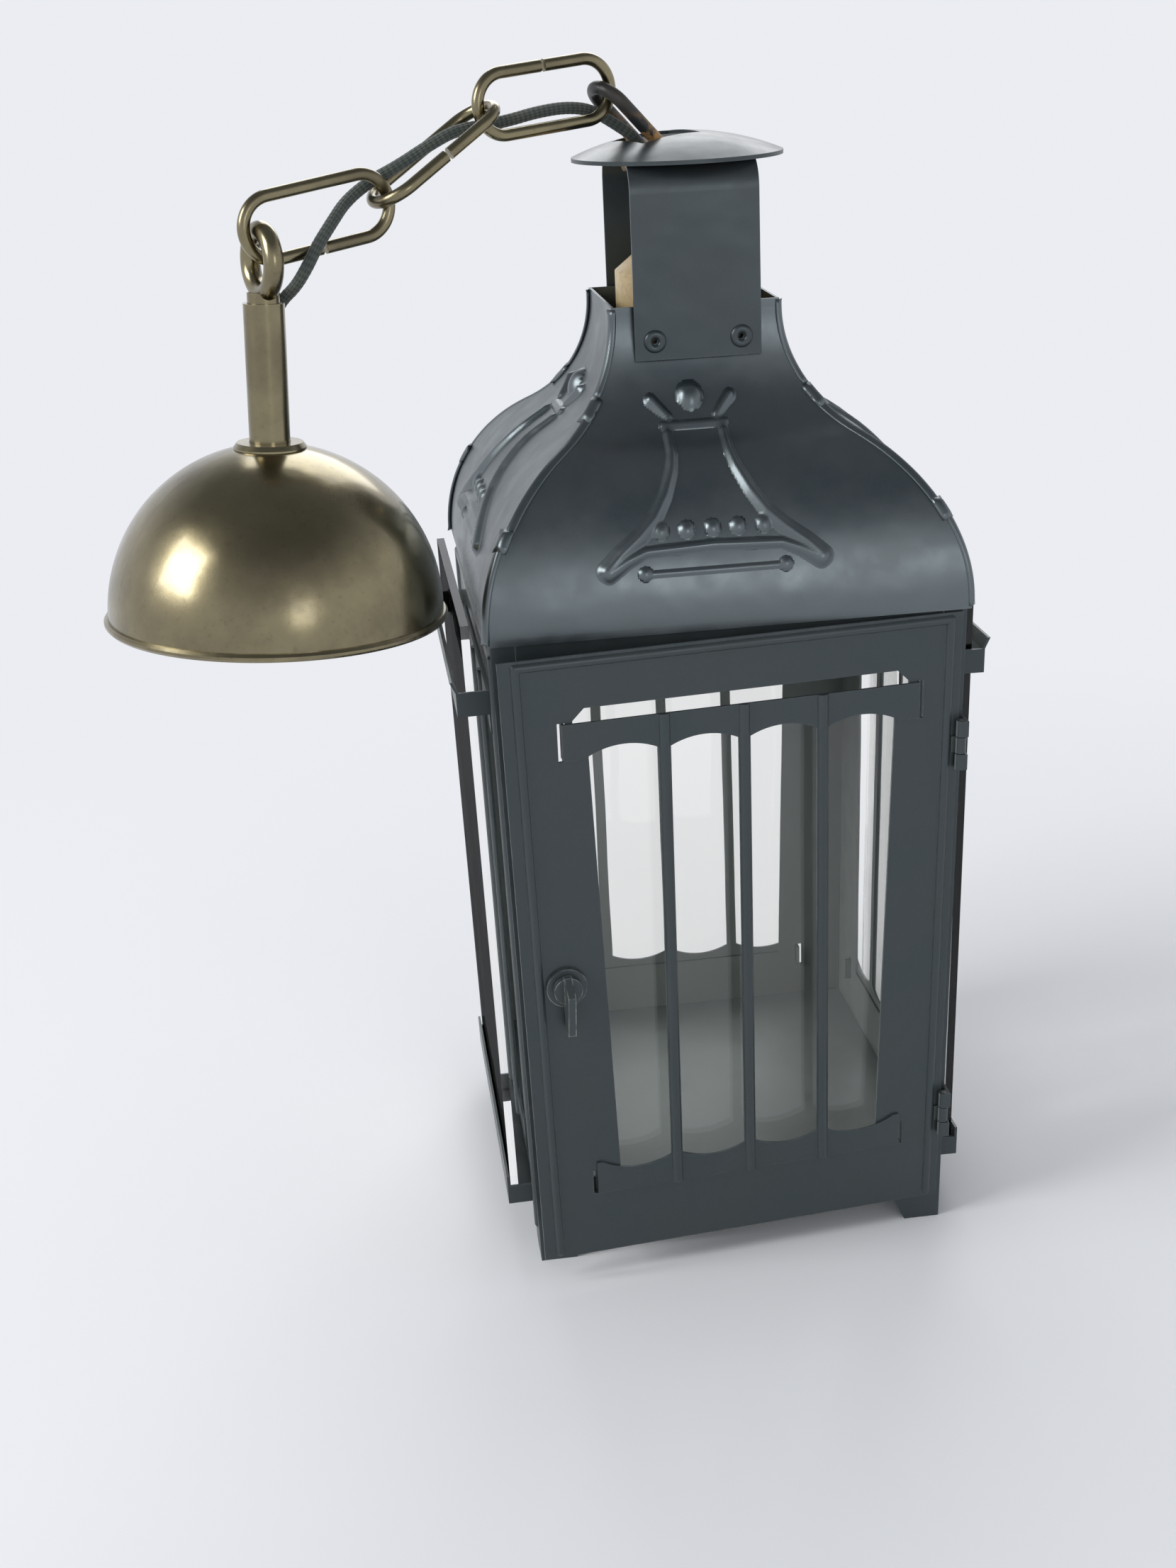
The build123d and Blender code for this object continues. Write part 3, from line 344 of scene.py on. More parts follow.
# %% [markdown]
# ## The stamped ornament
# Each roof panel has a traditional ornament pressed out of the sheet: a pearl between two short
# leaves, a band, a bell with curving sides, a row of pearls and a foot. Pressed sheet rises softly
# from the panel. That is made with a fine grid whose vertices are dropped onto the panel and then
# lifted by the height of the nearest stroke or pearl. Faces that stay under the panel are deleted,
# so the relief grows out of the sheet without a border.

# %% Ornament outline
# strokes: points across the panel and above the feet, then half width and height at the first and
# last point
ORNAMENT_STROKES = [
    ([(-9.4, 264.6), (9.4, 264.6)], (1.5, 1.1), (1.5, 1.1)),
    ([(-20.0, 234.2), (0.0, 235.0), (20.0, 234.2)], (2.1, 1.6), (2.1, 1.6)),
    ([(-20.5, 228.2), (20.5, 228.2)], (1.6, 0.8), (1.6, 0.8)),
]
BELL_SIDE = [
    (8.3, 262.6), (8.4, 258.0), (9.6, 254.0), (12.6, 248.2),
    (16.6, 242.6), (21.4, 238.2), (27.0, 234.0), (31.6, 229.8),
]
BELL_FOOT = [(20.0, 234.2), (25.5, 232.2), (31.0, 229.2)]
LEAF = [(11.9, 271.2), (7.0, 266.4)]
ORNAMENT_PAIRS = [
    (BELL_SIDE, (1.9, 1.4), (3.7, 2.2)),
    (BELL_FOOT, (2.1, 1.6), (3.6, 2.2)),
    (LEAF, (2.5, 2.0), (1.7, 1.3)),
]
# pearls: place across the panel and above the feet, then radius and height
ORNAMENT_PEARLS = [(0.0, 271.9, 4.2, 2.7), (-20.5, 228.4, 2.3, 1.3), (20.5, 228.4, 2.3, 1.3)]
PEARL_GAP = 7.5
ORNAMENT_PEARLS += [(PEARL_GAP * k, 239.5, 2.6, 1.6) for k in (-2, -1, 0, 1, 2)]
PEARL_FULLNESS = 0.8
# the stamp sits a little left of the panel's middle
ORNAMENT_SHIFT = -4.0
strokes = list(ORNAMENT_STROKES)
for points, thin, thick in ORNAMENT_PAIRS:
    for hand in (-1, 1):
        strokes.append(([(hand * u, z) for u, z in points], thin, thick))
print("strokes", len(strokes), "pearls", len(ORNAMENT_PEARLS))


def smooth_hump(distance, width):
    """1 on the line of a stroke, falling softly to 0 at its edge."""
    if distance >= width:
        return 0.0
    return 0.5 + 0.5 * cos(pi * distance / width)


def stroke_height(spot, points, thin, thick):
    """Height of one stroke over a spot of the panel, in millimetres."""
    best = 0.0
    pieces = len(points) - 1
    for k in range(pieces):
        start, end = Vector(points[k]), Vector(points[k + 1])
        run = end - start
        share = min(1.0, max(0.0, (spot - start).dot(run) / run.length_squared))
        along = (k + share) / pieces
        width = thin[0] + (thick[0] - thin[0]) * along
        height = thin[1] + (thick[1] - thin[1]) * along
        best = max(best, height * smooth_hump((spot - start - run * share).length, width))
    return best


def ornament_height(u, z):
    """Height of the whole ornament over one spot of the panel, in millimetres."""
    spot = Vector((u, z))
    best = max(stroke_height(spot, *stroke) for stroke in strokes)
    for centre_u, centre_z, radius, height in ORNAMENT_PEARLS:
        away = (spot - Vector((centre_u, centre_z))).length / radius
        if away < 1:
            best = max(best, height * (1 - away ** 2) ** PEARL_FULLNESS)
    return best


# %% Ornament on the four panels
GRID_STEP = 0.6
GRID_HALF = 42
GRID_LOW, GRID_HIGH = 224.0, 278.0
RELIEF_SINK = 0.12
RELIEF_SHEET = 0.4 * MM
BEFORE_ROOF = -100
panel_mesh = nodes["roof_front"].data
panel_tree = BVHTree.FromPolygons(
    [vertex.co for vertex in panel_mesh.vertices],
    [polygon.vertices[:] for polygon in panel_mesh.polygons],
)
columns = int(2 * GRID_HALF / GRID_STEP)
rows = int((GRID_HIGH - GRID_LOW) / GRID_STEP)
relief = bmesh.new()
bmesh.ops.create_grid(relief, x_segments=columns, y_segments=rows, size=1.0)
lifted = {}
off_panel = []
for vertex in relief.verts:
    u = vertex.co.x * GRID_HALF
    z = GRID_LOW + (vertex.co.y + 1) / 2 * (GRID_HIGH - GRID_LOW)
    spot, normal, _, _ = panel_tree.ray_cast(from_foot(u, BEFORE_ROOF, z), Vector((0, 1, 0)))
    if spot is None:
        off_panel.append(vertex)
        continue
    outwards = normal if normal.y < 0 else -normal
    height = ornament_height(u - ORNAMENT_SHIFT, z)
    lifted[vertex] = height > 0
    vertex.co = spot + outwards * (height - RELIEF_SINK) * MM
bmesh.ops.delete(relief, geom=off_panel, context="VERTS")
flat = [face for face in relief.faces if not any(lifted[vertex] for vertex in face.verts)]
bmesh.ops.delete(relief, geom=flat, context="FACES")
bmesh.ops.recalc_face_normals(relief, faces=relief.faces[:])
if sum(face.normal.y for face in relief.faces) > 0:
    bmesh.ops.reverse_faces(relief, faces=relief.faces[:])
ornaments = []
for side, turn in zip(("front", "right", "back", "left"), QUARTER_TURNS):
    bm = relief.copy()
    bmesh.ops.rotate(bm, verts=bm.verts[:], cent=(0, 0, 0), matrix=Matrix.Rotation(turn, 3, "Z"))
    ornament = new_piece(f"{side}_ornament", bm)
    thickness = ornament.modifiers.new("sheet", "SOLIDIFY")
    thickness.thickness = RELIEF_SHEET
    thickness.offset = -1
    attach(ornament, "lantern")
    ornaments.append(ornament)
relief.free()
print("ornament faces on one panel:", len(ornaments[0].data.polygons))

# %% [markdown]
# ## Tubular rivets
# Four hollow rivets hold the neck strap to the roof. Their heads are rolled over like a small
# doughnut, with the bore still open. A turned shape like this is drawn as half of its section and
# spun round the rivet's axis.

# %% Rivets
RIVET_SPACING = 26.0
RIVET_LEVEL = 287.5
RIVET_HEAD_RADIUS = 3.4
RIVET_HEAD_HEIGHT = 1.0
RIVET_SHANK = 1.55
RIVET_BORE = 0.9
RIVET_LIP = 0.45
RIVET_INNER = 22.5
RIVET_TURN = 32
RIVET_MERGE = MM / 200
ROLL_START, ROLL_STEP, ROLL_COUNT = 200, 25, 9
ROLL_LOWEST = 0.02
ROLL_CENTRE = (RIVET_BORE + RIVET_HEAD_RADIUS) / 2
ROLL_RADIUS = RIVET_HEAD_RADIUS - ROLL_CENTRE
rivet_low, rivet_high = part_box("neck_rivets")
RIVET_FACE = -rivet_low.y / MM - RIVET_HEAD_HEIGHT
# radius and depth behind the strap's face, round the section of the rivet
rivet_section = [(RIVET_BORE, RIVET_FACE - RIVET_INNER), (RIVET_BORE, -RIVET_LIP)]
for step in range(ROLL_COUNT):
    angle = radians(ROLL_START - ROLL_STEP * step)
    radius = ROLL_CENTRE + cos(angle) * ROLL_RADIUS
    rivet_section.append((radius, -RIVET_HEAD_HEIGHT * max(sin(angle), ROLL_LOWEST)))
rivet_section += [(RIVET_SHANK, 0.0), (RIVET_SHANK, RIVET_FACE - RIVET_INNER)]
bm = bmesh.new()
for facing in (-1, 1):
    for x in (-RIVET_SPACING / 2, RIVET_SPACING / 2):
        ring = []
        for radius, depth in rivet_section:
            place = from_foot(x + radius, facing * (RIVET_FACE - depth), RIVET_LEVEL)
            ring.append(bm.verts.new(place))
        edges = [bm.edges.new((ring[k - 1], ring[k])) for k in range(len(ring))]
        bmesh.ops.spin(
            bm, geom=ring + edges, cent=from_foot(x, 0, RIVET_LEVEL), axis=(0, 1, 0),
            angle=2 * pi, steps=RIVET_TURN, use_merge=True,
        )
bmesh.ops.remove_doubles(bm, verts=bm.verts[:], dist=RIVET_MERGE)
bmesh.ops.recalc_face_normals(bm, faces=bm.faces[:])
rivets = new_piece("rolled_rivets", bm)
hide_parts("neck_rivets")
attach(rivets, "lantern")
print("rivet box", [round(c / MM, 2) for c in rivet_low], [round(c / MM, 2) for c in rivet_high])

# %% [markdown]
# ## Shared effects
# Paint, brass and iron all age in the same few ways: they go patchy, and they wear along edges.
# Each effect is one node group with named inputs, placed in every material that needs it. Patches
# come from noise on Object coordinates. Worn edges are found by comparing the surface normal with a
# rounded one from the Bevel node.

# %% Node helpers
def put(tree, kind, values=None, **settings):
    """Adds a node, sets its properties, and sets or links its inputs."""
    node = tree.nodes.new("ShaderNode" + kind)
    for name, value in settings.items():
        setattr(node, name, value)
    for name, value in (values or {}).items():
        if isinstance(value, bpy.types.NodeSocket):
            tree.links.new(value, node.inputs[name])
        else:
            node.inputs[name].default_value = value
    return node


def new_group(name, inputs, outputs):
    """An empty shader group with its sockets, and its two end nodes."""
    group = bpy.data.node_groups.new(name, "ShaderNodeTree")
    for socket, default in inputs:
        made = group.interface.new_socket(socket, in_out="INPUT", socket_type="NodeSocketFloat")
        made.default_value = default
    for socket in outputs:
        group.interface.new_socket(socket, in_out="OUTPUT", socket_type="NodeSocketFloat")
    return group, group.nodes.new("NodeGroupInput"), group.nodes.new("NodeGroupOutput")


def maths(tree, operation, *values):
    """The result of one Math node."""
    return put(tree, "Math", dict(enumerate(values)), operation=operation).outputs["Value"]


def stretch(tree, value, low, high, to_low=0.0, to_high=1.0):
    """Maps a value from one range to another and stops it at the ends."""
    node = put(tree, "MapRange", {
        "Value": value, "From Min": low, "From Max": high, "To Min": to_low, "To Max": to_high,
    })
    return node.outputs["Result"]


def blend_colours(tree, share, first, second):
    """One colour turning into another."""
    mix = tree.nodes.new("ShaderNodeMix")
    mix.data_type = "RGBA"
    for socket, value in ((mix.inputs[0], share), (mix.inputs[6], first), (mix.inputs[7], second)):
        if isinstance(value, bpy.types.NodeSocket):
            tree.links.new(value, socket)
        else:
            socket.default_value = value if isinstance(value, float) else (*value, 1.0)
    return mix.outputs[2]


def group_node(tree, group, values=None):
    """Places a node group in a material."""
    node = tree.nodes.new("ShaderNodeGroup")
    node.node_tree = group
    for name, value in (values or {}).items():
        node.inputs[name].default_value = value
    return node


# %% Patchiness group
patchy, ends, out = new_group(
    "patchiness", [("Scale", 60.0), ("Fine Scale", 900.0)], ["Patches", "Specks"],
)
place = put(patchy, "TexCoord").outputs["Object"]
broad = put(patchy, "TexNoise", {
    "Vector": place, "Scale": ends.outputs["Scale"], "Detail": 5.0, "Roughness": 0.6,
})
fine = put(patchy, "TexNoise", {"Vector": place, "Scale": ends.outputs["Fine Scale"], "Detail": 3.0})
patchy.links.new(stretch(patchy, broad.outputs["Fac"], 0.36, 0.66), out.inputs["Patches"])
patchy.links.new(stretch(patchy, fine.outputs["Fac"], 0.3, 0.72), out.inputs["Specks"])
print("group", patchy.name)

# %% Worn edges group
EDGE_STARTS, EDGE_FULL = 0.985, 0.8
worn, ends, out = new_group("worn_edges", [("Radius", 0.0008), ("Broken Up", 220.0)], ["Edge"])
rounded = put(worn, "Bevel", {"Radius": ends.outputs["Radius"]}, samples=4).outputs["Normal"]
true_normal = put(worn, "NewGeometry").outputs["Normal"]
likeness = put(worn, "VectorMath", {0: rounded, 1: true_normal}, operation="DOT_PRODUCT")
bent = stretch(worn, likeness.outputs["Value"], EDGE_STARTS, EDGE_FULL)
place = put(worn, "TexCoord").outputs["Object"]
rubs = put(worn, "TexNoise", {"Vector": place, "Scale": ends.outputs["Broken Up"], "Detail": 4.0})
rubbed = stretch(worn, rubs.outputs["Fac"], 0.42, 0.6)
worn.links.new(maths(worn, "MULTIPLY", bent, rubbed), out.inputs["Edge"])
print("group", worn.name)

# %% [markdown]
# ## Black paint
# The sheet is painted a cold blue-black that has gone brownish in patches. Thin old sheet is never
# flat, so a broad weak bump makes its reflections wander, and a fine one gives the paint its grain.
# Along the edges the paint is rubbed grey. One function makes five versions of it: dull walls, a
# roof that shines, a neck between the two, a floor plate made pale with dust and a painted sheen,
# and a latch scuffed by fingers.
# Inside, the walls are paler than outside: dust, and painted light that stands in for the light
# falling inside the lantern. A face that looks towards the lantern's axis is an inner one.

# %% Black paint
def new_material(name):
    """A material with an empty Principled shader, and its tree."""
    material = bpy.data.materials.new(name)
    material.use_nodes = True
    return material, material.node_tree, material.node_tree.nodes["Principled BSDF"]


def two_bumps(tree, broad_scale, broad_depth, fine_scale, fine_depth):
    """A broad bump under a fine one, as a normal."""
    place = put(tree, "TexCoord").outputs["Object"]
    broad = put(tree, "TexNoise", {"Vector": place, "Scale": broad_scale, "Detail": 2.0})
    fine = put(tree, "TexNoise", {"Vector": place, "Scale": fine_scale, "Detail": 4.0})
    under = put(tree, "Bump", {"Height": broad.outputs["Fac"], "Distance": broad_depth})
    over = put(tree, "Bump", {
        "Height": fine.outputs["Fac"], "Distance": fine_depth, "Normal": under.outputs["Normal"],
    })
    return over.outputs["Normal"]


LEVEL_PART = (1.0, 1.0, 0.0)
INNER_STARTS, INNER_FULL = -20 * MM, -30 * MM


def inner_faces(tree):
    """A mask of the faces that look towards the upright axis of the lantern."""
    coords = put(tree, "TexCoord")
    from_axis = put(tree, "VectorMath", {
        0: coords.outputs["Object"], 1: LEVEL_PART,
    }, operation="MULTIPLY").outputs["Vector"]
    outwards = put(tree, "VectorMath", {
        0: from_axis, 1: coords.outputs["Normal"],
    }, operation="DOT_PRODUCT").outputs["Value"]
    return stretch(tree, outwards, INNER_STARTS, INNER_FULL)


COLD_BLACK = (0.006, 0.010, 0.013)
BROWN_BLACK = (0.013, 0.012, 0.013)
PLAIN_DUST = (0.068, 0.082, 0.082)
PLAIN_BARE = (0.085, 0.098, 0.100)
DUST_SPREAD = 0.08


def paint_finish(
    name, specular, index, smooth, rough, dust, scuffs, dust_and_sheen=PLAIN_DUST, bare=PLAIN_BARE, inner_dust_and_light=None,
):
    """The black paint with its own shine, dust and scuffs, and paler inner faces where their colour is
    given: dust, and painted light for the light inside.
    """
    material, tree, shader = new_material(name)
    age = group_node(tree, patchy, {"Scale": 45.0, "Fine Scale": 1400.0})
    wear = group_node(tree, worn, {"Radius": 0.0007, "Broken Up": 260.0})
    ground = blend_colours(tree, age.outputs["Patches"], COLD_BLACK, BROWN_BLACK)
    fine = stretch(tree, age.outputs["Specks"], 0.0, 1.0, dust, dust + DUST_SPREAD)
    dusty = blend_colours(tree, fine, ground, dust_and_sheen)
    # inner faces turn paler: dust, and painted light standing in for the light inside
    if inner_dust_and_light:
        dusty = blend_colours(tree, inner_faces(tree), dusty, inner_dust_and_light)
    edges = stretch(tree, wear.outputs["Edge"], 0.0, 1.0, 0.0, scuffs)
    rubbed = blend_colours(tree, edges, dusty, bare)
    tree.links.new(rubbed, shader.inputs["Base Color"])
    sheen = stretch(tree, age.outputs["Patches"], 0.0, 1.0, smooth, rough)
    tree.links.new(sheen, shader.inputs["Roughness"])
    tree.links.new(two_bumps(tree, 42.0, 0.0007, 1500.0, 0.000004), shader.inputs["Normal"])
    shader.inputs["Specular IOR Level"].default_value = specular
    shader.inputs["IOR"].default_value = index
    shader.inputs["Specular Tint"].default_value = (0.82, 0.95, 1.0, 1.0)
    return material


# the walls' inner colour is dust, and painted light for the light inside the lantern
paint = paint_finish(
    "wall_paint", specular=0.6, index=1.5, smooth=0.28, rough=0.42, dust=0.37, scuffs=0.6,
    inner_dust_and_light=(0.150, 0.168, 0.160),
)
roof_paint = paint_finish(
    "roof_paint", specular=1.0, index=1.75, smooth=0.27, rough=0.42, dust=0.07, scuffs=0.6,
)
neck_paint = paint_finish(
    "neck_paint", specular=0.8, index=1.5, smooth=0.3, rough=0.45, dust=0.18, scuffs=0.6,
)
# pale with dust, and with a painted sheen that stands in for the plate's grazing reflection
floor_paint = paint_finish(
    "dust_and_sheen_paint", specular=0.6, index=1.5, smooth=0.3, rough=0.45, dust=0.92, scuffs=0.5,
    dust_and_sheen=(0.120, 0.136, 0.132),
)
latch_paint = paint_finish(
    "scuffed_paint", specular=0.6, index=1.5, smooth=0.3, rough=0.45, dust=0.47, scuffs=1.0,
    bare=(0.36, 0.36, 0.32),
)
paints = (paint, roof_paint, neck_paint, floor_paint, latch_paint)
print("finishes:", [material.name for material in paints])

# %% [markdown]
# ## Brass
# Chain, stem and cup are old brass: olive where it has dulled, brown where it has spotted, and
# brighter where hands and links have rubbed it. Metallic stays plain, and colour and roughness
# carry the age.

# %% Brass
OLIVE = (0.265, 0.228, 0.132)
DARK_OLIVE = (0.165, 0.140, 0.084)
BROWN_SPOTS = (0.12, 0.095, 0.055)
RUBBED_BRASS = (0.44, 0.37, 0.22)
brass, tree, shader = new_material("aged_brass")
age = group_node(tree, patchy, {"Scale": 38.0, "Fine Scale": 700.0})
wear = group_node(tree, worn, {"Radius": 0.0006, "Broken Up": 300.0})
dulled = blend_colours(tree, age.outputs["Patches"], OLIVE, DARK_OLIVE)
spots = stretch(tree, age.outputs["Specks"], 0.7, 1.0, 0.0, 0.3)
spotted = blend_colours(tree, spots, dulled, BROWN_SPOTS)
edges = stretch(tree, wear.outputs["Edge"], 0.0, 1.0, 0.0, 0.5)
tree.links.new(blend_colours(tree, edges, spotted, RUBBED_BRASS), shader.inputs["Base Color"])
tree.links.new(stretch(tree, age.outputs["Patches"], 0.0, 1.0, 0.2, 0.32), shader.inputs["Roughness"])
tree.links.new(two_bumps(tree, 60.0, 0.0003, 1600.0, 0.000008), shader.inputs["Normal"])
shader.inputs["Metallic"].default_value = 1.0
shader.inputs["Coat Weight"].default_value = 0.4
shader.inputs["Coat Roughness"].default_value = 0.12
print("finish", brass.name)

# %% [markdown]
# ## Iron, steel, plastic and glass
# The hanger was blackened and shows copper where it rubs against the cap. The small fittings inside
# are dull zinc. The lampholder is yellowed plastic. The panes are plain window glass; light from
# the lamps may pass them, which a Mix Shader with Light Path's Is Shadow Ray allows, so that the
# inside isn't darker than in a real lantern. Seen almost edge-on from outside, the panes go dark:
# a coat that only absorbs is weighted by how slanted the view is, which Layer Weight tells, so
# looking straight through stays clear.

# %% Blackened iron
BLACKENED = (0.016, 0.017, 0.017)
RUSTY_BLACK = (0.035, 0.028, 0.020)
COPPER = (0.45, 0.25, 0.09)
RUBBED_IRON = (0.12, 0.10, 0.07)
COPPER_STARTS, COPPER_FULL = from_foot(0, 0, 352).z, from_foot(0, 0, 346).z
iron, tree, shader = new_material("blackened_iron")
age = group_node(tree, patchy, {"Scale": 120.0, "Fine Scale": 900.0})
wear = group_node(tree, worn, {"Radius": 0.0006, "Broken Up": 200.0})
black = blend_colours(tree, age.outputs["Patches"], BLACKENED, RUSTY_BLACK)
place = put(tree, "TexCoord").outputs["Object"]
height = put(tree, "SeparateXYZ", {"Vector": place}).outputs["Z"]
low_end = stretch(tree, height, COPPER_STARTS, COPPER_FULL)
patches = stretch(tree, age.outputs["Patches"], 0.2, 0.6)
bared = blend_colours(tree, maths(tree, "MULTIPLY", low_end, patches), black, COPPER)
rubbed = blend_colours(tree, wear.outputs["Edge"], bared, RUBBED_IRON)
tree.links.new(rubbed, shader.inputs["Base Color"])
tree.links.new(stretch(tree, age.outputs["Patches"], 0.0, 1.0, 0.34, 0.52), shader.inputs["Roughness"])
tree.links.new(two_bumps(tree, 300.0, 0.0001, 1500.0, 0.00003), shader.inputs["Normal"])
print("finish", iron.name)

# %% Dull steel
steel, tree, shader = new_material("dull_steel")
age = group_node(tree, patchy, {"Scale": 150.0, "Fine Scale": 1200.0})
greyed = blend_colours(tree, age.outputs["Patches"], (0.42, 0.41, 0.38), (0.24, 0.21, 0.17))
tree.links.new(greyed, shader.inputs["Base Color"])
tree.links.new(stretch(tree, age.outputs["Specks"], 0.0, 1.0, 0.32, 0.5), shader.inputs["Roughness"])
tree.links.new(two_bumps(tree, 200.0, 0.0001, 2000.0, 0.00002), shader.inputs["Normal"])
shader.inputs["Metallic"].default_value = 1.0
print("finish", steel.name)

# %% Cream plastic
cream, tree, shader = new_material("cream_plastic")
age = group_node(tree, patchy, {"Scale": 90.0, "Fine Scale": 700.0})
yellowed = blend_colours(tree, age.outputs["Patches"], (0.58, 0.46, 0.26), (0.46, 0.33, 0.17))
specks = stretch(tree, age.outputs["Specks"], 0.5, 1.0, 0.0, 0.5)
dusty = blend_colours(tree, specks, yellowed, (0.30, 0.22, 0.13))
tree.links.new(dusty, shader.inputs["Base Color"])
tree.links.new(stretch(tree, age.outputs["Patches"], 0.0, 1.0, 0.38, 0.55), shader.inputs["Roughness"])
tree.links.new(two_bumps(tree, 150.0, 0.0001, 1200.0, 0.00002), shader.inputs["Normal"])
print("finish", cream.name)

# %% Pane glass
EDGE_ON_DARK_STARTS, EDGE_ON_DARK_FULL = 0.8, 0.93
EDGE_ON_DARK_MOST = 0.93
glass, tree, shader = new_material("pane_glass")
place = put(tree, "TexCoord").outputs["Object"]
ripple = put(tree, "TexNoise", {"Vector": place, "Scale": 30.0, "Detail": 1.0})
wavy = put(tree, "Bump", {"Height": ripple.outputs["Fac"], "Distance": 0.0002})
film = put(tree, "TexNoise", {"Vector": place, "Scale": 70.0, "Detail": 4.0})
tree.links.new(wavy.outputs["Normal"], shader.inputs["Normal"])
tree.links.new(stretch(tree, film.outputs["Fac"], 0.4, 0.75, 0.0, 0.02), shader.inputs["Roughness"])
shader.inputs["Base Color"].default_value = (1.0, 0.995, 0.975, 1.0)
shader.inputs["Transmission Weight"].default_value = 1.0
shader.inputs["IOR"].default_value = 1.45
# the panes darken where they are seen almost edge-on from outside
slant = put(tree, "LayerWeight", {"Blend": 0.5}).outputs["Facing"]
edge_on = stretch(tree, slant, EDGE_ON_DARK_STARTS, EDGE_ON_DARK_FULL, 0.0, EDGE_ON_DARK_MOST)
outside = maths(tree, "SUBTRACT", 1.0, put(tree, "NewGeometry").outputs["Backfacing"])
tree.links.new(maths(tree, "MULTIPLY", edge_on, outside), shader.inputs["Coat Weight"])
shader.inputs["Coat IOR"].default_value = 1.0
shader.inputs["Coat Tint"].default_value = (0.3, 0.33, 0.33, 1.0)
clear = put(tree, "BsdfTransparent", {"Color": (0.97, 0.97, 0.96, 1.0)})
passing = put(tree, "LightPath").outputs["Is Shadow Ray"]
let_through = put(tree, "MixShader", {0: passing, 1: shader.outputs["BSDF"], 2: clear.outputs["BSDF"]})
tree.links.new(let_through.outputs["Shader"], tree.nodes["Material Output"].inputs["Surface"])
print("finish", glass.name)

# %% [markdown]
# ## Braided fabric
# The threads of the braid cross in two slants. Their pattern is worked out from the angle and the
# distance that each vertex of the flex keeps, so it runs with the cable round every bend. Where the
# braid dips between threads its colour is darker, a painted shade. Old grey-green cotton is matt,
# a little fuzzy and dusty in places.

# %% Flex fabric
fabric, tree, shader = new_material("braided_fabric")
kept = put(tree, "Attribute", attribute_name="braid").outputs["Vector"]
parts = put(tree, "SeparateXYZ", {"Vector": kept})
angle = maths(tree, "ARCTAN2", parts.outputs["Y"], parts.outputs["X"])
turns = maths(tree, "MULTIPLY", angle, float(BRAID_TURNS))
runs = maths(tree, "MULTIPLY", parts.outputs["Z"], 2 * pi / BRAID_PITCH)
one_way = maths(tree, "SINE", maths(tree, "ADD", turns, runs))
other_way = maths(tree, "SINE", maths(tree, "SUBTRACT", turns, runs))
weave = maths(tree, "MULTIPLY", one_way, other_way)
age = group_node(tree, patchy, {"Scale": 130.0, "Fine Scale": 1800.0})
faded = blend_colours(tree, age.outputs["Patches"], (0.066, 0.088, 0.078), (0.118, 0.128, 0.108))
# darker where the weave dips between threads: painted shade
threads = blend_colours(tree, stretch(tree, weave, -0.9, 0.7), (0.034, 0.046, 0.040), faded)
tree.links.new(threads, shader.inputs["Base Color"])
tree.links.new(stretch(tree, age.outputs["Specks"], 0.0, 1.0, 0.75, 0.95), shader.inputs["Roughness"])
ribs = put(tree, "Bump", {"Height": weave, "Distance": 0.0001})
lint = put(tree, "Bump", {
    "Height": age.outputs["Specks"], "Distance": 0.00005, "Normal": ribs.outputs["Normal"],
})
tree.links.new(lint.outputs["Normal"], shader.inputs["Normal"])
shader.inputs["Sheen Weight"].default_value = 0.25
print("finish", fabric.name)

# %% [markdown]
# ## Finishes on the pieces
# Every CAD node and every new piece gets its finish here. Most of the lantern is painted, so the
# others are listed by name and the rest takes the paint.

# %% Assign finishes
FINISHES = {
    roof_paint: ["roof_front", "roof_right", "roof_back", "roof_left"],
    neck_paint: ["neck_strap"],
    floor_paint: ["floor_plate"],
    latch_paint: ["latch_plate", "latch_knob"],
    glass: ["left_glass", "right_glass", "back_glass", "door_glass"],
    brass: [
        "chain_link_2", "chain_link_3", "chain_link_4", "stem_eye", "stem", "stem_washer", "stem_nut",
        "ceiling_cup", "screw_shell", "centre_contact",
    ],
    iron: ["hanger_link", "hanger_pin"],
    steel: ["hinge_pins", "nipple", "nipple_nuts", "holder_bridge"],
    cream: ["holder_cap", "holder_body", "holder_ring"],
}


def finish(piece, material):
    """Gives a piece one material."""
    piece.data.materials.clear()
    piece.data.materials.append(material)


for node in nodes.values():
    finish(node, paint)
for material, names in FINISHES.items():
    for name in names:
        finish(nodes[name], material)
for piece in seams + ornaments:
    finish(piece, roof_paint)
finish(rivets, neck_paint)
for piece in flex_pieces:
    finish(piece, fabric)
print("finishes:", len(bpy.data.materials))

# %% [markdown]
# ## Studio
# The lantern stands on a plain pale floor in an evenly lit studio. The world is the main light:
# pale near the horizon and darker overhead, so that metal shows a soft gradient, while the camera
# sees it in one plain colour. A large soft lamp on the left models the forms, and two weaker ones
# fill from the front and from behind. Far from the lantern, the floor is shown to the camera in the
# colour of the horizon, so no line divides them; near it, the floor is a matt surface that takes
# the shadow.

# %% World and lamps
HORIZON = (0.83, 0.845, 0.885)
OVERHEAD = (0.19, 0.20, 0.22)
SKY_STARTS, SKY_FULL = 0.3, 0.75
world = bpy.data.worlds.new("studio")
bpy.context.scene.world = world
world.use_nodes = True
tree = world.node_tree
direction = put(tree, "TexCoord").outputs["Generated"]
upwards = put(tree, "SeparateXYZ", {"Vector": direction}).outputs["Z"]
rays = put(tree, "LightPath").outputs
looked_at = maths(tree, "MAXIMUM", rays["Is Camera Ray"], rays["Is Transmission Ray"])
lit_only = maths(tree, "SUBTRACT", 1.0, looked_at)
steep = maths(tree, "MULTIPLY", stretch(tree, upwards, SKY_STARTS, SKY_FULL), lit_only)
sky = blend_colours(tree, steep, HORIZON, OVERHEAD)
tree.links.new(sky, tree.nodes["Background"].inputs["Color"])

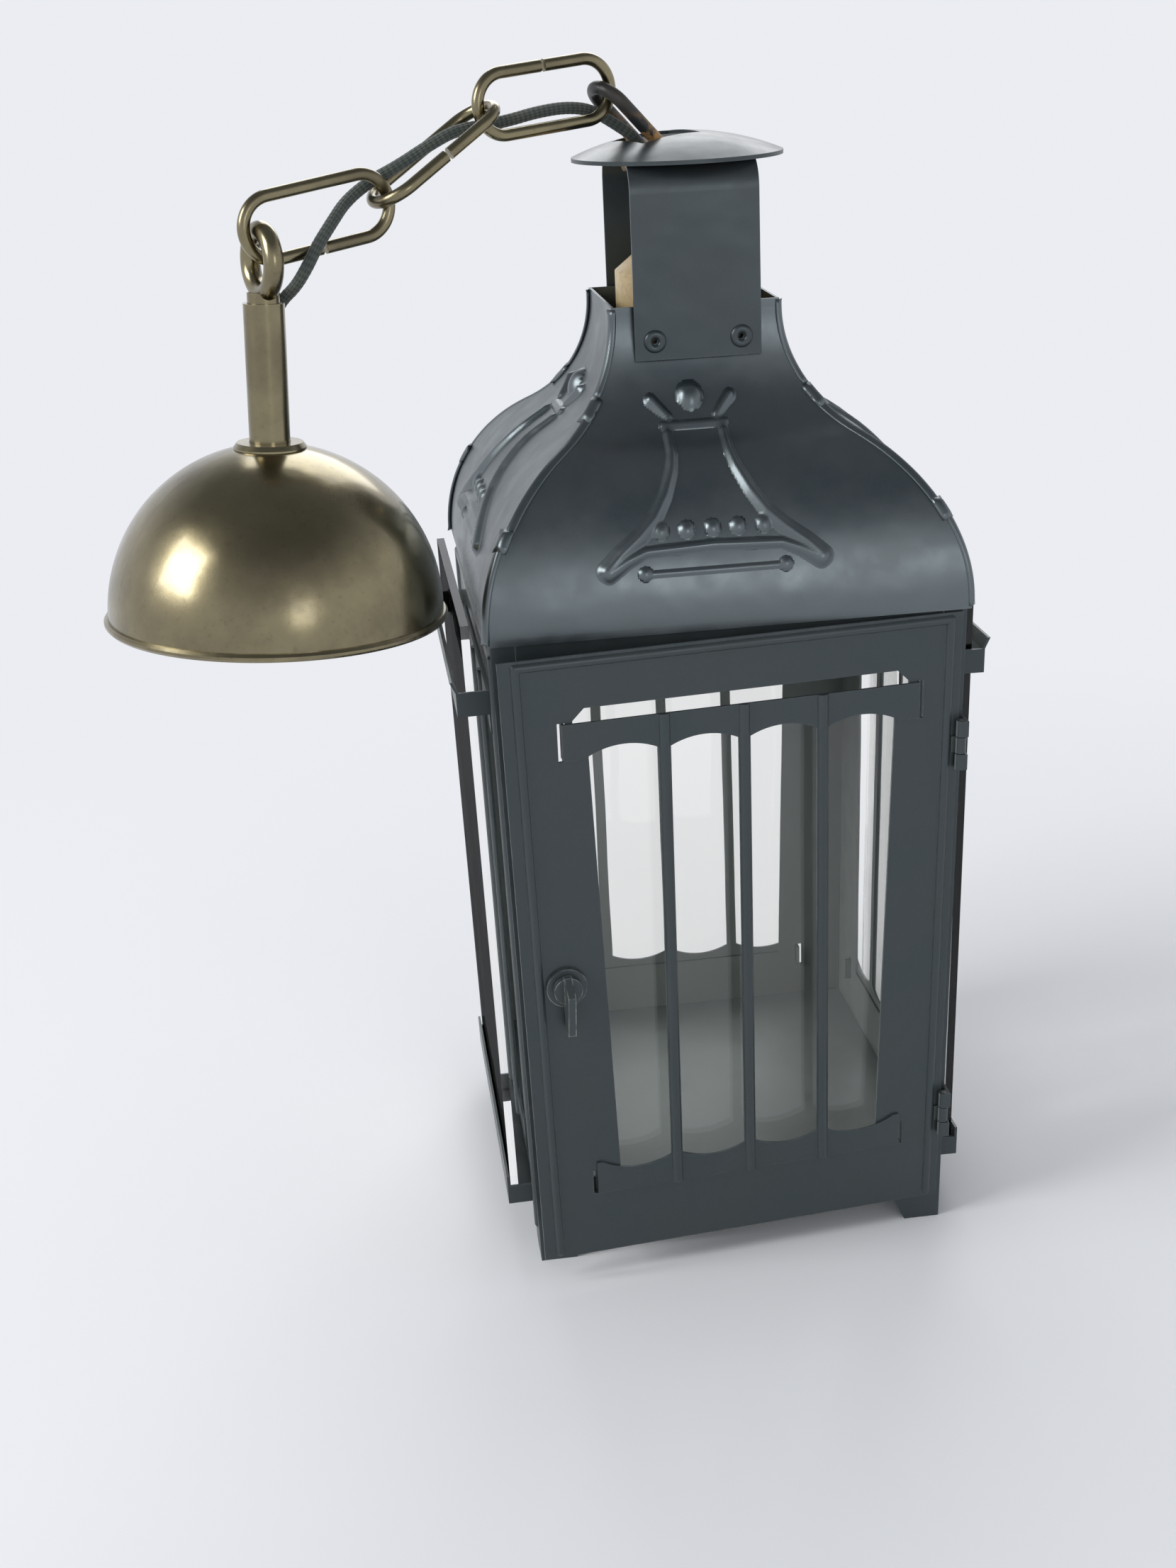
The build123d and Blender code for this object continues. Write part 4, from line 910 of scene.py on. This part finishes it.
# name, place, width and power
LAMPS = [
    ("left", (-1.3, -0.35, 0.95), 0.7, 14.0),
    ("front", (0.35, -1.45, 0.5), 0.4, 1.4),
    ("behind", (0.2, 1.2, 1.1), 1.0, 8.0),
]
AIM = Vector((0, 0, 0.15))
for name, spot, size, power in LAMPS:
    lamp_data = bpy.data.lights.new(name, "AREA")
    lamp_data.size = size
    lamp_data.energy = power
    lamp = bpy.data.objects.new(name, lamp_data)
    lamp.location = spot
    lamp.rotation_euler = (AIM - Vector(spot)).to_track_quat("-Z", "Y").to_euler()
    lamp.visible_camera = False
    lamp.visible_transmission = False
    bpy.context.collection.objects.link(lamp)
bpy.context.scene.view_settings.view_transform = "Standard"
print("lamps:", len(LAMPS))

# %% Floor
FLOOR_HALF = 12.0
FLOOR_NEAR, FLOOR_FAR = 0.16, 0.58
floor_material, tree, shader = new_material("pale_floor")
place = put(tree, "TexCoord").outputs["Object"]
cloudy = put(tree, "TexNoise", {"Vector": place, "Scale": 6.0, "Detail": 2.0})
pale = blend_colours(tree, cloudy.outputs["Fac"], (0.91, 0.92, 0.94), (0.93, 0.938, 0.955))
tree.links.new(pale, shader.inputs["Base Color"])
shader.inputs["Roughness"].default_value = 0.9
shader.inputs["Specular IOR Level"].default_value = 0.1
away = put(tree, "VectorMath", {0: place}, operation="LENGTH").outputs["Value"]
rays = put(tree, "LightPath").outputs
mirrored = maths(tree, "MAXIMUM", rays["Is Glossy Ray"], rays["Is Transmission Ray"])
seen = maths(tree, "MAXIMUM", rays["Is Camera Ray"], mirrored)
far = maths(tree, "MULTIPLY", stretch(tree, away, FLOOR_NEAR, FLOOR_FAR), seen)
glow = put(tree, "Emission", {"Color": (*HORIZON, 1.0), "Strength": 1.0})
ground = put(tree, "MixShader", {0: far, 1: shader.outputs["BSDF"], 2: glow.outputs["Emission"]})
tree.links.new(ground.outputs["Shader"], tree.nodes["Material Output"].inputs["Surface"])
bm = bmesh.new()
bmesh.ops.create_grid(bm, x_segments=1, y_segments=1, size=FLOOR_HALF)
bmesh.ops.translate(bm, verts=bm.verts[:], vec=(0, 0, FOOT_LEVEL))
floor = new_piece("pale_floor", bm, smooth=False)
finish(floor, floor_material)
print("floor at", FOOT_LEVEL)
